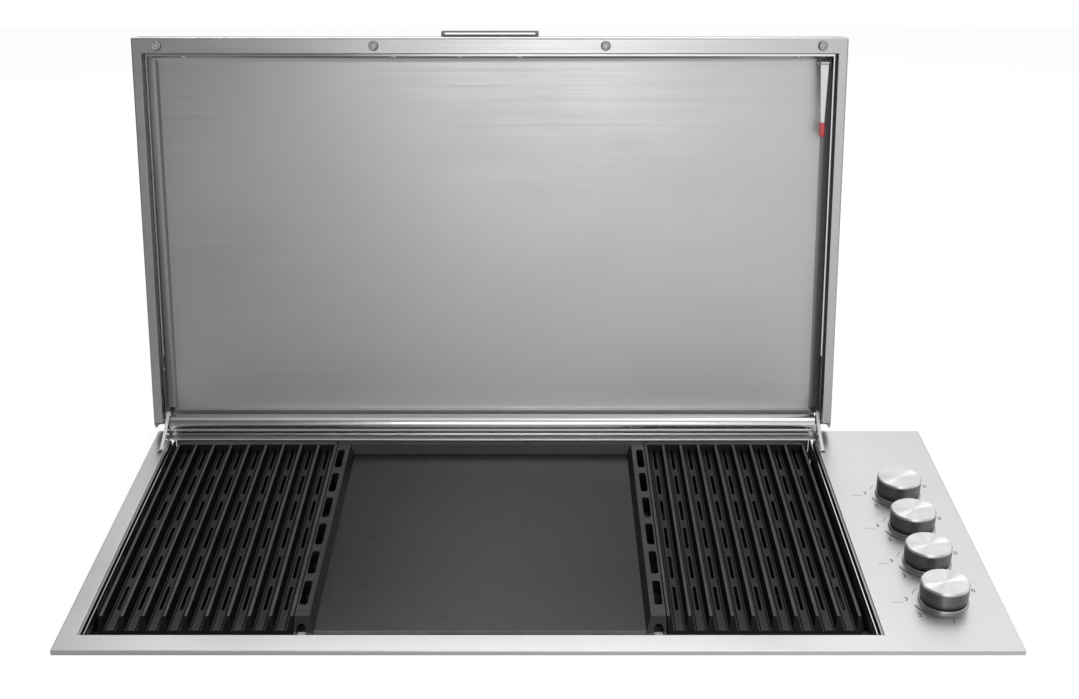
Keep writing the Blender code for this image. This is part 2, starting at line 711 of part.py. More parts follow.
def grill_section():
    """The grill's cross-section from its left side: fins, shoulders, grooves and slotted bands."""
    shoulder = (FIN_PITCH - FIN_BASE_WIDTH) / 2
    groove = shoulder - SHOULDER_WIDTH
    band = BAND_WIDTH / 2
    top = GRILL_TOP_Z
    points = [(0, GRILL_BOTTOM_Z), (0, top), (FIN_TOP_WIDTH, top)]
    first = FIN_TOP_WIDTH / 2
    for column in range(COLUMNS):
        middle = first + FIN_PITCH * (column + 0.5)
        for side in (-1, 1):
            rise = [(middle + side * shoulder, VALLEY_Z + SHOULDER_HEIGHT),
                    (middle + side * groove, VALLEY_Z + SHOULDER_HEIGHT),
                    (middle + side * (groove - SHOULDER_WIDTH / 2), VALLEY_Z),
                    (middle + side * (band + SHOULDER_WIDTH / 2), VALLEY_Z),
                    (middle + side * band, VALLEY_Z + BAND_HEIGHT)]
            points += rise if side < 0 else rise[::-1]
        fin = first + FIN_PITCH * (column + 1)
        points += [(fin - FIN_TOP_WIDTH / 2, top), (fin + FIN_TOP_WIDTH / 2, top)]
    points[-1] = (GRILL_WIDTH, top)
    points.append((GRILL_WIDTH, GRILL_BOTTOM_Z))
    # A drain channel under each band opens at the front edge
    for column in reversed(range(COLUMNS)):
        middle = first + FIN_PITCH * (column + 0.5)
        roof = GRILL_BOTTOM_Z + DRAIN_HEIGHT
        points += [(middle + DRAIN_WIDTH / 2, GRILL_BOTTOM_Z), (middle + DRAIN_ROOF / 2, roof),
                   (middle - DRAIN_ROOF / 2, roof), (middle - DRAIN_WIDTH / 2, GRILL_BOTTOM_Z)]
    return points


def slot_centres(from_back, pitch, length):
    """Places of a row of slots, as many as its depth holds, from the back one forwards."""
    count = 1 + int((ROW_DEPTH - from_back - length / 2) / pitch)
    return [GRILL_Y1 - from_back - pitch * index for index in range(count)]


def pointed(width, length):
    """A slot's outline: straight sides and ends that narrow to a blunt point."""
    half, reach = width / 2, length / 2
    return [(-half, half - reach), (0, -reach), (half, half - reach),
            (half, reach - half), (0, reach), (-half, reach - half)]


def back_rim_outline():
    """The raised rim along the back, seen from the side."""
    root = (GRILL_PLATE - DRAIN_HEIGHT) / 2
    foot = GRILL_Y1 - BACK_RIM - BACK_RIM_SLOPE * (1 + root / FIN_HEIGHT)
    return [(foot, VALLEY_Z - root), (GRILL_Y1 - BACK_RIM, GRILL_TOP_Z),
            (GRILL_Y1, GRILL_TOP_Z), (GRILL_Y1, VALLEY_Z - root)]


def front_slope_outline(floor):
    """What is cut away in front: the fins' sloping ends and the floor's blunt front edge."""
    rise = FIN_FRONT_SLOPE / FIN_HEIGHT
    top = GRILL_TOP_Z + OVERRUN
    return [(GRILL_Y0 - OVERRUN, top), (GRILL_Y0 - OVERRUN, floor - FRONT_LIP - OVERRUN),
            (GRILL_Y0 + FRONT_LIP + GAP, floor + GAP), (FIN_END_Y + rise * OVERRUN, top)]


def half_round(middle, base, radius, steps):
    """A half-round notch that opens downwards."""
    return ([(middle - radius, base - OVERRUN)] + arc((middle, base), radius, 180, 0, steps)
            + [(middle + radius, base - OVERRUN)])


def back_corner_outlines():
    """The two back corners as cut away, blunt and rounded."""
    outlines = []
    near, far = BACK_CORNER * BACK_CORNER_SHARE, BACK_CORNER + OVERRUN
    for x, side in ((0, 1), (GRILL_WIDTH, -1)):
        outlines.append([(x - side * OVERRUN, GRILL_Y1 + OVERRUN), (x - side * OVERRUN, GRILL_Y1 - far),
                         (x + side * near, GRILL_Y1 - near), (x + side * far, GRILL_Y1 + OVERRUN)])
    return outlines


def make_grill(name, x0, finish):
    """A cast grill: tall fins with slotted bands between them and a rim across the back."""
    place = (x0, 0, 0)
    mesh = outline_mesh(name, "Y", [grill_section()], GRILL_Y0, GRILL_Y1)
    grill = add_object(name, mesh, finish["cast"], place)
    rim = outline_mesh(name + "_rim", "X", [back_rim_outline()], 0, GRILL_WIDTH)
    join(grill, add_object(name + "_rim", rim, None, place))
    slope = outline_mesh(name + "_front", "X", [front_slope_outline(VALLEY_Z + BAND_HEIGHT)],
                         -OVERRUN, GRILL_WIDTH + OVERRUN)
    cut(grill, add_object(name + "_front", slope, None, place))
    middles = [FIN_TOP_WIDTH / 2 + FIN_PITCH * (column + 0.5) for column in range(COLUMNS)]
    places = [(middle, centre) for middle in middles
              for centre in slot_centres(SLOT_FROM_BACK, SLOT_PITCH, SLOT_LENGTH)]
    slots = repeated_mesh(name + "_slots", pointed(SLOT_WIDTH, SLOT_LENGTH),
                          GRILL_BOTTOM_Z - OVERRUN, GRILL_TOP_Z, places)
    cut(grill, add_object(name + "_slots", slots, None, place))
    corners = outline_mesh(name + "_corners", "Z", back_corner_outlines(),
                           GRILL_BOTTOM_Z - OVERRUN, GRILL_TOP_Z + OVERRUN)
    cut(grill, add_object(name + "_corners", corners, None, place))


def make_griddle(x0, x1, finish):
    """The griddle: a flat plate between raised flanks with windows, and a channel behind."""
    name = "griddle_plate"
    floor = VALLEY_Z
    inner0 = x0 + FLANK_WIDTH + FLANK_SLOPE
    inner1 = x1 - FLANK_WIDTH - FLANK_SLOPE
    section = [(x0, GRILL_BOTTOM_Z), (x0, GRILL_TOP_Z), (x0 + FLANK_WIDTH, GRILL_TOP_Z),
               (inner0, floor), (inner1, floor), (x1 - FLANK_WIDTH, GRILL_TOP_Z),
               (x1, GRILL_TOP_Z), (x1, GRILL_BOTTOM_Z)]
    griddle = add_object(name, outline_mesh(name, "Y", [section], GRILL_Y0, GRILL_Y1),
                         finish["cast"])
    join(griddle, add_object(name + "_rim",
                             outline_mesh(name + "_rim", "X", [back_rim_outline()], x0, x1)))
    back = GRILL_Y1 - BACK_RIM - BACK_RIM_SLOPE - GAP
    channel = box_mesh(name + "_channel", (inner0 + GAP, back - CHANNEL_WIDTH, floor - CHANNEL_DEPTH),
                       (inner1 - GAP, back, GRILL_TOP_Z))
    cut(griddle, add_object(name + "_channel", channel))
    low, high = x0 - OVERRUN, x1 + OVERRUN
    slope = outline_mesh(name + "_front", "X", [front_slope_outline(floor)], low, high)
    cut(griddle, add_object(name + "_front", slope))
    places, arches = [], []
    for x, side in ((x0, 1), (x1, -1)):
        middle = x + side * WINDOW_INSET
        for centre in slot_centres(WINDOW_FROM_BACK, WINDOW_PITCH, WINDOW_LENGTH):
            places.append((middle, centre))
        arches.append(half_round(x + side * FLANK_WIDTH / 2, GRILL_BOTTOM_Z, ARCH_RADIUS,
                                 ARCH_STEPS))
    window = chamfered((-WINDOW_WIDTH / 2, -WINDOW_LENGTH / 2),
                       (WINDOW_WIDTH / 2, WINDOW_LENGTH / 2), WINDOW_CHAMFER)
    holes = repeated_mesh(name + "_windows", window, GRILL_BOTTOM_Z - OVERRUN,
                          GRILL_TOP_Z + OVERRUN, places)
    cut(griddle, add_object(name + "_windows", holes))
    tunnels = outline_mesh(name + "_arches", "Y", arches, GRILL_Y0 - OVERRUN,
                           FIN_END_Y + ARCH_RUN)
    cut(griddle, add_object(name + "_arches", tunnels))


def make_cooking_surfaces(finish):
    """Two grills at the sides and the griddle between them."""
    left_x = CUT_X0 + TRIM_WIDTH + LEFT_GRILL_GAP
    right_x = CUT_X1 - TRIM_WIDTH - RIGHT_GRILL_GAP - GRILL_WIDTH
    make_grill("grill_left", left_x, finish)
    make_grill("grill_right", right_x, finish)
    make_griddle(left_x + GRILL_WIDTH + PLAY, right_x - PLAY, finish)


def make_drip_tray(finish):
    """The full-width tray that slides on the side walls' runners, with a lip to pull."""
    x0 = LOWER_X0 + SHEET / 2 + TRAY_SIDE_PLAY
    x1 = LOWER_X1 - SHEET / 2 - TRAY_SIDE_PLAY
    y0 = LOWER_Y0 + SHEET
    y1 = LOWER_Y1 - SHEET / 2 - GAP
    bm = bmesh.new()
    add_box(bm, (x0, y0, TRAY_Z0), (x1, y1, TRAY_Z1))
    lid = [face for face in bm.faces if face.normal.z > 0.5]
    bmesh.ops.delete(bm, geom=lid, context="FACES_ONLY")
    bm.edges.ensure_lookup_table()
    front = [edge for edge in bm.edges
             if all(vert.co.z > TRAY_Z1 - GAP and vert.co.y < y0 + GAP for vert in edge.verts)]
    grown = bmesh.ops.extrude_edge_only(bm, edges=front)["geom"]
    fresh = [item for item in grown if isinstance(item, bmesh.types.BMVert)]
    bmesh.ops.translate(bm, verts=fresh, vec=(0, -TRAY_LIP - FRONT_SHELF / 2, 0))
    edges = [item for item in grown if isinstance(item, bmesh.types.BMEdge)]
    outer = [edge for edge in edges if all(vert.co.y < y0 - GAP for vert in edge.verts)]
    grown = bmesh.ops.extrude_edge_only(bm, edges=outer)["geom"]
    fresh = [item for item in grown if isinstance(item, bmesh.types.BMVert)]
    bmesh.ops.translate(bm, verts=fresh, vec=(0, 0, -TRAY_LIP))
    mesh = mesh_from("drip_tray", bm)
    floor = min(mesh.polygons, key=lambda face: face.center.z)
    if floor.normal.z > 0:
        mesh.flip_normals()
    tray = add_object("drip_tray", mesh, finish["galvanised"])
    thicken(tray, TRAY_SHEET, -1)


def make_control_housing(finish):
    """The closed box under the panel that keeps heat and spills off the valves."""
    bm = bmesh.new()
    add_box(bm, (HOUSING_X0, HOUSING_Y0, HOUSING_BOTTOM), (HOUSING_X1, HOUSING_Y1, HOUSING_TOP))
    top = [face for face in bm.faces if face.normal.z > 0.5]
    bmesh.ops.delete(bm, geom=top, context="FACES_ONLY")
    mesh = mesh_from("control_housing", bm)
    floor = min(mesh.polygons, key=lambda face: face.center.z)
    if floor.normal.z > 0:
        mesh.flip_normals()
    housing = add_object("control_housing", mesh, finish["galvanised"])
    thicken(housing, HOUSING_SHEET, -1)
    for index, y in enumerate(burner_places()):
        hole = rod_mesh("housing_hole", (HOUSING_X0 - OVERRUN, y, BURNER_Z),
                        (HOUSING_X0 + HOUSING_SHEET + OVERRUN, y, BURNER_Z),
                        BURNER_NECK_RADIUS + NECK_CLEARANCE, BURNER_SIDES)
        cut(housing, add_object(f"housing_hole_{index + 1}", hole))
    y = HOUSING_Y1 - FITTING_FROM_END
    hole = rod_mesh("fitting_hole", (MANIFOLD_X, y, HOUSING_BOTTOM - OVERRUN),
                    (MANIFOLD_X, y, HOUSING_BOTTOM + HOUSING_SHEET + OVERRUN),
                    FITTING_THREAD_RADIUS + GAP, ROUND_SIDES)
    cut(housing, add_object("fitting_hole", hole))


def make_gas_train(finish):
    """The manifold tube, its inlet fitting, and the battery igniter."""
    y0 = HOUSING_Y0 + HOUSING_SHEET + GAP
    y1 = HOUSING_Y1 - HOUSING_SHEET - GAP
    tube = rod_mesh("gas_manifold", (MANIFOLD_X, y0, BURNER_Z), (MANIFOLD_X, y1, BURNER_Z),
                    MANIFOLD_RADIUS, ROUND_SIDES)
    shade(add_object("gas_manifold", tube, finish["galvanised"]))
    top = BURNER_Z - MANIFOLD_RADIUS * 0.6
    nut = HOUSING_BOTTOM + HOUSING_SHEET + GAP
    profile = [(0, top), (FITTING_THREAD_RADIUS, top), (FITTING_THREAD_RADIUS, nut + FITTING_COLLAR_HEIGHT),
               (FITTING_COLLAR_RADIUS, nut + FITTING_COLLAR_HEIGHT), (FITTING_COLLAR_RADIUS, nut),
               (FITTING_THREAD_RADIUS, nut), (FITTING_THREAD_RADIUS, top - FITTING_LENGTH),
               (FITTING_BORE, top - FITTING_LENGTH), (FITTING_BORE, nut), (0, nut)]
    place = Vector((MANIFOLD_X, HOUSING_Y1 - FITTING_FROM_END, 0))
    fitting = turned("gas_inlet_fitting", finish["brass"], profile, ROUND_SIDES, place)
    reach = Vector((0, FITTING_COLLAR_RADIUS + OVERRUN, 0))
    middle = Vector((MANIFOLD_X, place.y, BURNER_Z))
    saddle = rod_mesh("saddle", middle - reach, middle + reach, MANIFOLD_RADIUS + GAP, ROUND_SIDES)
    cut(fitting, add_object("fitting_saddle", saddle))
    width, depth, height = IGNITER_SIZE
    base = HOUSING_BOTTOM + HOUSING_SHEET + GAP
    x0 = HOUSING_X0 + HOUSING_SHEET + GAP
    back = HOUSING_Y1 - HOUSING_SHEET - IGNITER_FROM_BACK
    box = box_mesh("igniter", (x0, back - depth, base), (x0 + width, back, base + height))
    igniter = add_object("igniter", box, finish["plastic"])
    round_edges(igniter, IGNITER_EDGE)


def make_valve(index, y, finish):
    """One gas valve: body, plug that turns, stem that slides, knob and bezel."""
    axis = (KNOB_X, y, 0)
    top = BURNER_Z + VALVE_HEIGHT / 2
    base = BURNER_Z - VALVE_HEIGHT / 2
    plug_top = top - VALVE_CAP - GAP
    plug_base = plug_top - PLUG_HEIGHT
    bore = STEM_RADIUS + GAP
    profile = [(0, plug_base - GAP), (PLUG_BASE_RADIUS + GAP, plug_base - GAP),
               (PLUG_TOP_RADIUS + GAP, top - VALVE_CAP), (bore, top - VALVE_CAP), (bore, top),
               (VALVE_RADIUS, top), (VALVE_RADIUS, base), (0, base)]
    name = f"valve_body_{index}"
    body = turned(name, finish["brass"], profile, SMALL_SIDES, axis)
    overlap = VALVE_RADIUS - PLUG_TOP_RADIUS - OVERRUN
    nozzle_x = KNOB_X - VALVE_RADIUS - NOZZLE_LENGTH
    nozzle = rod_mesh(name + "_nozzle", (KNOB_X - VALVE_RADIUS + overlap, y, BURNER_Z),
                      (nozzle_x, y, BURNER_Z), NOZZLE_RADIUS, SMALL_SIDES)
    join(body, add_object(name + "_nozzle", nozzle))
    inlet = rod_mesh(name + "_inlet", (KNOB_X + VALVE_RADIUS - overlap, y, BURNER_Z),
                     (MANIFOLD_X, y, BURNER_Z), INLET_RADIUS, SMALL_SIDES)
    join(body, add_object(name + "_inlet", inlet))
    reach = Vector((0, INLET_RADIUS + OVERRUN, 0))
    middle = Vector((MANIFOLD_X, y, BURNER_Z))
    saddle = rod_mesh(name + "_saddle", middle - reach, middle + reach, MANIFOLD_RADIUS + GAP,
                      ROUND_SIDES)
    cut(body, add_object(name + "_saddle", saddle))
    orifice = rod_mesh(name + "_orifice", (nozzle_x - OVERRUN, y, BURNER_Z),
                       (nozzle_x + ORIFICE_DEPTH, y, BURNER_Z), ORIFICE_RADIUS, SMALL_SIDES)
    cut(body, add_object(name + "_orifice", orifice))
    turn = new_empty(f"knob_axis_{index}", axis)
    make_plug(index, plug_top, plug_base, finish, turn)
    make_stem(index, plug_top, finish, turn)
    make_knob(index, finish, turn)
    make_bezel(index, axis, finish)


def make_plug(index, top, base, finish, turn):
    """The tapered plug, slotted across its top for the stem's tongue."""
    name = f"valve_plug_{index}"
    profile = [(0, top), (PLUG_TOP_RADIUS, top), (PLUG_BASE_RADIUS, base), (0, base)]
    plug = turned(name, finish["brass"], profile, SMALL_SIDES, parent=turn)
    half = TONGUE_WIDTH / 2 + GAP
    reach = PLUG_TOP_RADIUS + OVERRUN
    slot = box_mesh(name + "_slot", (-reach, -half, top - TONGUE_LENGTH - PUSH_TRAVEL - GAP),
                    (reach, half, top + OVERRUN))
    cut(plug, add_object(name + "_slot", slot, parent=turn))


def make_stem(index, plug_top, finish, turn):
    """The stem: a round bar with a flat for the knob and a tongue for the plug."""
    name = f"valve_stem_{index}"
    top = knob_base() + KNOB_BORE_DEPTH - GAP
    shank = plug_top + PUSH_TRAVEL + GAP
    bar = rod_mesh(name, (0, 0, shank), (0, 0, top), STEM_RADIUS, SMALL_SIDES)
    stem = add_object(name, bar, finish["polished"], parent=turn)
    tongue = box_mesh(name + "_tongue",
                      (-STEM_RADIUS * 0.9, -TONGUE_WIDTH / 2, plug_top - TONGUE_LENGTH),
                      (STEM_RADIUS * 0.9, TONGUE_WIDTH / 2, shank + OVERRUN))
    join(stem, add_object(name + "_tongue", tongue, parent=turn))
    flat = box_mesh(name + "_flat", (STEM_RADIUS - STEM_FLAT, -STEM_RADIUS - OVERRUN, Z_TOP + BEZEL_HEIGHT),
                    (STEM_RADIUS + OVERRUN, STEM_RADIUS + OVERRUN, top + OVERRUN))
    cut(stem, add_object(name + "_flat", flat, parent=turn))


def knob_base():
    """Height of a released knob's lower edge."""
    return Z_TOP + GAP + BEZEL_HEIGHT + KNOB_LIFT


def make_knob(index, finish, turn):
    """A hollow turned knob with a hub bored for the stem."""
    base = knob_base()
    top = base + KNOB_HEIGHT
    inner = KNOB_BASE_RADIUS - KNOB_WALL
    bore = STEM_RADIUS + PIN_FIT
    ceiling = top - KNOB_TOP_THICKNESS
    profile = [(0, top), (KNOB_RADIUS - KNOB_CHAMFER, top), (KNOB_RADIUS, top - KNOB_CHAMFER),
               (KNOB_BASE_RADIUS, base), (inner, base), (inner, ceiling),
               (KNOB_HUB_RADIUS, ceiling), (KNOB_HUB_RADIUS, base),
               (bore, base), (bore, base + KNOB_BORE_DEPTH),
               (0, base + KNOB_BORE_DEPTH)]
    turned(f"knob_{index}", finish["knob"], profile, ROUND_SIDES, parent=turn)


def make_bezel(index, axis, finish):
    """The ring round the knob's foot."""
    low = Z_TOP + GAP
    high = low + BEZEL_HEIGHT
    profile = [(BEZEL_BORE, high), (BEZEL_RADIUS - BEZEL_EDGE, high),
               (BEZEL_RADIUS, high - BEZEL_EDGE), (BEZEL_RADIUS, low), (BEZEL_BORE, low)]
    turned(f"knob_bezel_{index}", finish["polished"], profile, ROUND_SIDES, axis, closed=True)


def open_pan(low, high, hem_z, width):
    """A box open below, its lower rim folded inwards and its back wall only a short hem."""
    bm = bmesh.new()
    add_box(bm, low, high)
    below = [face for face in bm.faces if face.normal.z < -0.5]
    bmesh.ops.delete(bm, geom=below, context="FACES_ONLY")
    bmesh.ops.bisect_plane(bm, geom=bm.verts[:] + bm.edges[:] + bm.faces[:],
                           plane_co=(0, 0, hem_z), plane_no=(0, 0, 1))
    back = [face for face in bm.faces
            if face.normal.y > 0.5 and face.calc_center_median().z < hem_z]
    bmesh.ops.delete(bm, geom=back, context="FACES_ONLY")
    loose = [edge for edge in bm.edges if not edge.link_faces]
    bmesh.ops.delete(bm, geom=loose, context="EDGES")
    rim = [edge for edge in bm.edges if all(vert.co.z < low[2] + GAP for vert in edge.verts)]
    grown = bmesh.ops.extrude_edge_only(bm, edges=rim)["geom"]
    side, front = width
    for vert in [item for item in grown if isinstance(item, bmesh.types.BMVert)]:
        vert.co.x += side if vert.co.x < (low[0] + high[0]) / 2 else -side
        if vert.co.y < (low[1] + high[1]) / 2:
            vert.co.y += front
    return bm


def lid_object(name, mesh, material, pivot):
    """A lid piece drawn shut in place, carried by the hinge's empty."""
    return add_object(name, mesh, material, -PIVOT, pivot)


def outward(mesh):
    """Turn a pan's faces out, judged by its top."""
    roof = max(mesh.polygons, key=lambda face: face.center.z)
    if roof.normal.z < 0:
        mesh.flip_normals()
    return mesh


def make_lid_skin(finish, pivot):
    """The lid's outer shell with its rim folded in and its rear corners cut back."""
    low = (LID_X0, LID_Y0, RIM_Z)
    high = (LID_X1, LID_Y1, LID_Z1)
    bm = open_pan(low, high, LID_Z1 - REAR_HEM, (RIM_SIDE, RIM_FRONT))
    slope = Vector((0, 1, -1)).normalized()
    bmesh.ops.bisect_plane(bm, geom=bm.verts[:] + bm.edges[:] + bm.faces[:],
                           plane_co=(0, LID_Y1 - REAR_CHAMFER, RIM_Z), plane_no=slope,
                           clear_outer=True)
    skin = lid_object("lid_skin", outward(mesh_from("lid_skin", bm)), finish["brushed"], pivot)
    round_edges(skin, LID_CORNER)
    thicken(skin, SHEET, -1)


def make_lid_liner(finish, pivot):
    """The inner pan, set back behind the rim, with a rolled edge and a short rear hem."""
    ceiling = RIM_Z + LINER_DEPTH
    low = (LID_X0 + RIM_SIDE, LID_Y0 + RIM_FRONT, RIM_Z + LINER_RIM_DEPTH)
    high = (LID_X1 - RIM_SIDE, LID_Y1 - LINER_REAR_SETBACK, ceiling)
    bm = open_pan(low, high, ceiling - LINER_HEM, (LINER_RETURN, LINER_RETURN))
    liner = lid_object("lid_liner", outward(mesh_from("lid_liner", bm)), finish["liner"], pivot)
    thicken(liner, LINER_SHEET, -1)
    notches = []
    for x, side in ((low[0], 1), (high[0], -1)):
        x0, x1 = sorted((x + side * (LINER_SHEET + GAP), x + side * (LINER_RETURN + OVERRUN)))
        notches.append(((x0, high[1] - LINER_NOTCH, low[2] - OVERRUN),
                        (x1, high[1] + OVERRUN, low[2] + OVERRUN)))
    cut(liner, lid_helper("liner_notches", boxes_mesh("liner_notches", notches), pivot))


def make_bumpers(finish, pivot):
    """Four round pads on the rim that meet the fascia when the lid is down."""
    outer = LID_WIDTH / 2 - BUMPER_INSET
    places = (-outer, -BUMPER_INNER, BUMPER_INNER, outer)
    low = Z_TOP + GAP
    high = RIM_Z - GAP
    edge = BUMPER_RADIUS / 5
    profile = [(0, high), (BUMPER_RADIUS, high), (BUMPER_RADIUS, low + edge),
               (BUMPER_RADIUS - edge, low), (0, low)]
    for index, offset in enumerate(places):
        place = Vector((LID_MID_X + offset, LID_Y0 + BUMPER_SETBACK, 0)) - PIVOT
        turned(f"lid_bumper_{index + 1}", finish["rubber"], profile, SMALL_SIDES, place, pivot)


def make_handle(finish, pivot):
    """A slim strap loop along the front wall."""
    back = LID_Y0 - GAP
    front = back - HANDLE_REACH
    half = HANDLE_WIDTH / 2
    outer = chamfered((LID_MID_X - half, front), (LID_MID_X + half, back), HANDLE_CORNER)
    slot_half = half - HANDLE_BAR * 1.5
    y0, y1 = front + HANDLE_BAR, back - HANDLE_BASE
    radius = (y1 - y0) / 2
    middle = (y0 + y1) / 2
    inner = (arc((LID_MID_X - slot_half + radius, middle), radius, 270, 90, 6)
             + arc((LID_MID_X + slot_half - radius, middle), radius, 90, -90, 6))
    z0 = RIM_Z + HANDLE_ABOVE_RIM
    mesh = outline_mesh("lid_handle", "Z", [outer], z0, z0 + HANDLE_DEPTH)
    handle = lid_object("lid_handle", mesh, finish["polished"], pivot)
    slot = outline_mesh("lid_handle_slot", "Z", [inner], z0 - OVERRUN, z0 + HANDLE_DEPTH + OVERRUN)
    cut(handle, lid_helper("lid_handle_slot", slot, pivot))
    shade(handle)


def make_hinges(finish, pivot):
    """Per side: a bracket on the fascia, a pin through it, and the lid's hidden arm."""
    for word, side in (("left", -1), ("right", 1)):
        edge = LID_X0 if side < 0 else LID_X1
        middle = edge - side * BRACKET_INSET
        make_bracket(f"hinge_bracket_{word}", middle, finish)
        make_hinge_pin(f"hinge_pin_{word}", edge, middle, side, finish)
        make_lid_arm(f"lid_arm_{word}", edge, side, finish, pivot)


def make_bracket(name, middle, finish):
    """A plate that rises from the fascia to an eye round the hinge pin."""
    foot = Z_TOP + GAP
    eye = (PIVOT.y, PIVOT.z)
    toe_y = PIVOT.y - BRACKET_TOE
    knee = (PIVOT.y - BRACKET_KNEE, Z_TOP + BRACKET_KNEE_RISE)
    outline = ([(toe_y, foot), (toe_y, foot + BRACKET_TOE_RISE), knee]
               + arc(eye, EYE_RADIUS, 125, -60, 8) + [(Y_BACK - ROLL_LEG_SETBACK, foot)])
    half = BRACKET_THICKNESS / 2
    mesh = outline_mesh(name, "X", [outline], middle - half, middle + half)
    plate = add_object(name, mesh, finish["polished"])
    hole = rod_mesh(name + "_hole", (middle - half - OVERRUN, *eye), (middle + half + OVERRUN, *eye),
                    PIN_RADIUS + PIN_FIT, SMALL_SIDES)
    cut(plate, add_object(name + "_hole", hole))


def make_hinge_pin(name, edge, middle, side, finish):
    """A headed pin: head on the inner face of the bracket, shank out into the lid's arm."""
    inner = middle - side * BRACKET_THICKNESS / 2
    outer = edge - side * (RIM_SIDE - ARM_THICKNESS - GAP * 2)
    head = inner - side * (GAP + PIN_HEAD)
    place = (PIVOT.y, PIVOT.z)
    shank = rod_mesh(name, (head, *place), (outer, *place), PIN_RADIUS, SMALL_SIDES)
    pin = add_object(name, shank, finish["polished"])
    cap = rod_mesh(name + "_head", (head, *place), (inner - side * GAP, *place), PIN_HEAD_RADIUS,
                   SMALL_SIDES)
    join(pin, add_object(name + "_head", cap))


def make_lid_arm(name, edge, side, finish, pivot):
    """The arm between skin and liner: a foot under the skin and an ear on the pin."""
    ear_in = edge - side * (RIM_SIDE - GAP)
    ear_out = ear_in + side * ARM_THICKNESS
    wall = edge - side * (SHEET + LID_CORNER)
    top = LID_Z1 - SHEET - GAP
    x0, x1 = sorted((ear_in, wall))
    foot = box_mesh(name, (x0, PIVOT.y - ARM_REACH, top - ARM_THICKNESS),
                    (x1, PIVOT.y + ARM_TAIL, top))
    arm = lid_object(name, foot, finish["galvanised"], pivot)
    x0, x1 = sorted((ear_in, ear_out))
    ear = box_mesh(name + "_ear", (x0, PIVOT.y - ARM_REACH / 2, PIVOT.z - ARM_DROP),
                   (x1, PIVOT.y + ARM_TAIL, top - ARM_THICKNESS / 2))
    join(arm, lid_helper(name + "_ear", ear, pivot))
    hole = rod_mesh(name + "_hole", (x0 - OVERRUN, PIVOT.y, PIVOT.z),
                    (x1 + OVERRUN, PIVOT.y, PIVOT.z), PIN_RADIUS + GAP, SMALL_SIDES)
    cut(arm, lid_helper(name + "_hole", hole, pivot))


def lid_helper(name, mesh, pivot):
    """A cutter or welded helper that moves with the lid."""
    return add_object(name, mesh, None, -PIVOT, pivot)


def make_prop(finish, pivot):
    """The short prop that folds out of the lid's front corner, with its soft foot."""
    x = LID_X1 - PROP_INSET
    y = LID_Y0 + PROP_SETBACK
    z = RIM_Z + PROP_ABOVE_RIM
    half = PROP_ROOT_WIDTH / 2
    ceiling = RIM_Z + LINER_DEPTH - LINER_SHEET - GAP
    ear = PROP_EAR_WIDTH / 2
    outer = half + PROP_EAR + GAP
    base = box_mesh("prop_bracket", (x - outer, y - ear, ceiling - PROP_EAR), (x + outer, y + ear, ceiling))
    bracket = lid_object("prop_bracket", base, finish["polished"], pivot)
    for side in (-1, 1):
        x0, x1 = sorted((x + side * (half + GAP), x + side * outer))
        cheek = box_mesh("cheek", (x0, y - ear, z - ear), (x1, y + ear, ceiling - PROP_EAR / 2))
        join(bracket, lid_helper(f"prop_cheek_{side + 1}", cheek, pivot))
    hole = rod_mesh("prop_hole", (x - outer - OVERRUN, y, z), (x + outer + OVERRUN, y, z),
                    PROP_PIN_RADIUS + PIN_FIT, SMALL_SIDES)
    cut(bracket, lid_helper("prop_hole", hole, pivot))
    pin = rod_mesh("prop_pin", (x - outer - PROP_EAR / 2, y, z), (x + outer + PROP_EAR / 2, y, z),
                   PROP_PIN_RADIUS, SMALL_SIDES)
    lid_object("prop_pin", pin, finish["polished"], pivot)
    hinge = new_empty("prop_pivot", Vector((x, y, z)) - PIVOT, parent=pivot)
    make_prop_arm(finish, hinge, half)


def make_prop_arm(finish, hinge, half):
    """The tapered blade on its barrel, and the sleeve over the blade's tip."""
    tip = PROP_TIP_WIDTH / 2
    thick = PROP_THICKNESS / 2
    blade = [(-half, 0), (half, 0), (tip, PROP_LENGTH), (tip, PROP_LENGTH + SLEEVE_COVER),
             (-tip, PROP_LENGTH + SLEEVE_COVER), (-tip, PROP_LENGTH)]
    arm = add_object("prop_arm", outline_mesh("prop_arm", "Z", [blade], -thick, thick),
                     finish["polished"], parent=hinge)
    barrel = rod_mesh("prop_barrel", (-half, 0, 0), (half, 0, 0), PROP_BARREL_RADIUS, SMALL_SIDES)
    join(arm, add_object("prop_barrel", barrel, parent=hinge))
    bore = rod_mesh("prop_bore", (-half - OVERRUN, 0, 0), (half + OVERRUN, 0, 0),
                    PROP_PIN_RADIUS + PIN_FIT, SMALL_SIDES)
    cut(arm, add_object("prop_bore", bore, parent=hinge))
    profile = [(0, SLEEVE_LENGTH), (SLEEVE_RADIUS * 0.6, SLEEVE_LENGTH),
               (SLEEVE_RADIUS, SLEEVE_LENGTH * 0.85), (SLEEVE_RADIUS, 0), (0, 0)]
    sleeve = turned("prop_sleeve", finish["silicone"], profile, SMALL_SIDES,
                    (0, PROP_LENGTH, 0), hinge)
    sleeve.rotation_euler = (-math.pi / 2, 0, 0)
    pocket = box_mesh("sleeve_pocket", (-tip - GAP, PROP_LENGTH - OVERRUN, -thick - GAP),
                      (tip + GAP, PROP_LENGTH + SLEEVE_COVER + GAP, thick + GAP))
    cut(sleeve, add_object("sleeve_pocket", pocket, parent=hinge))


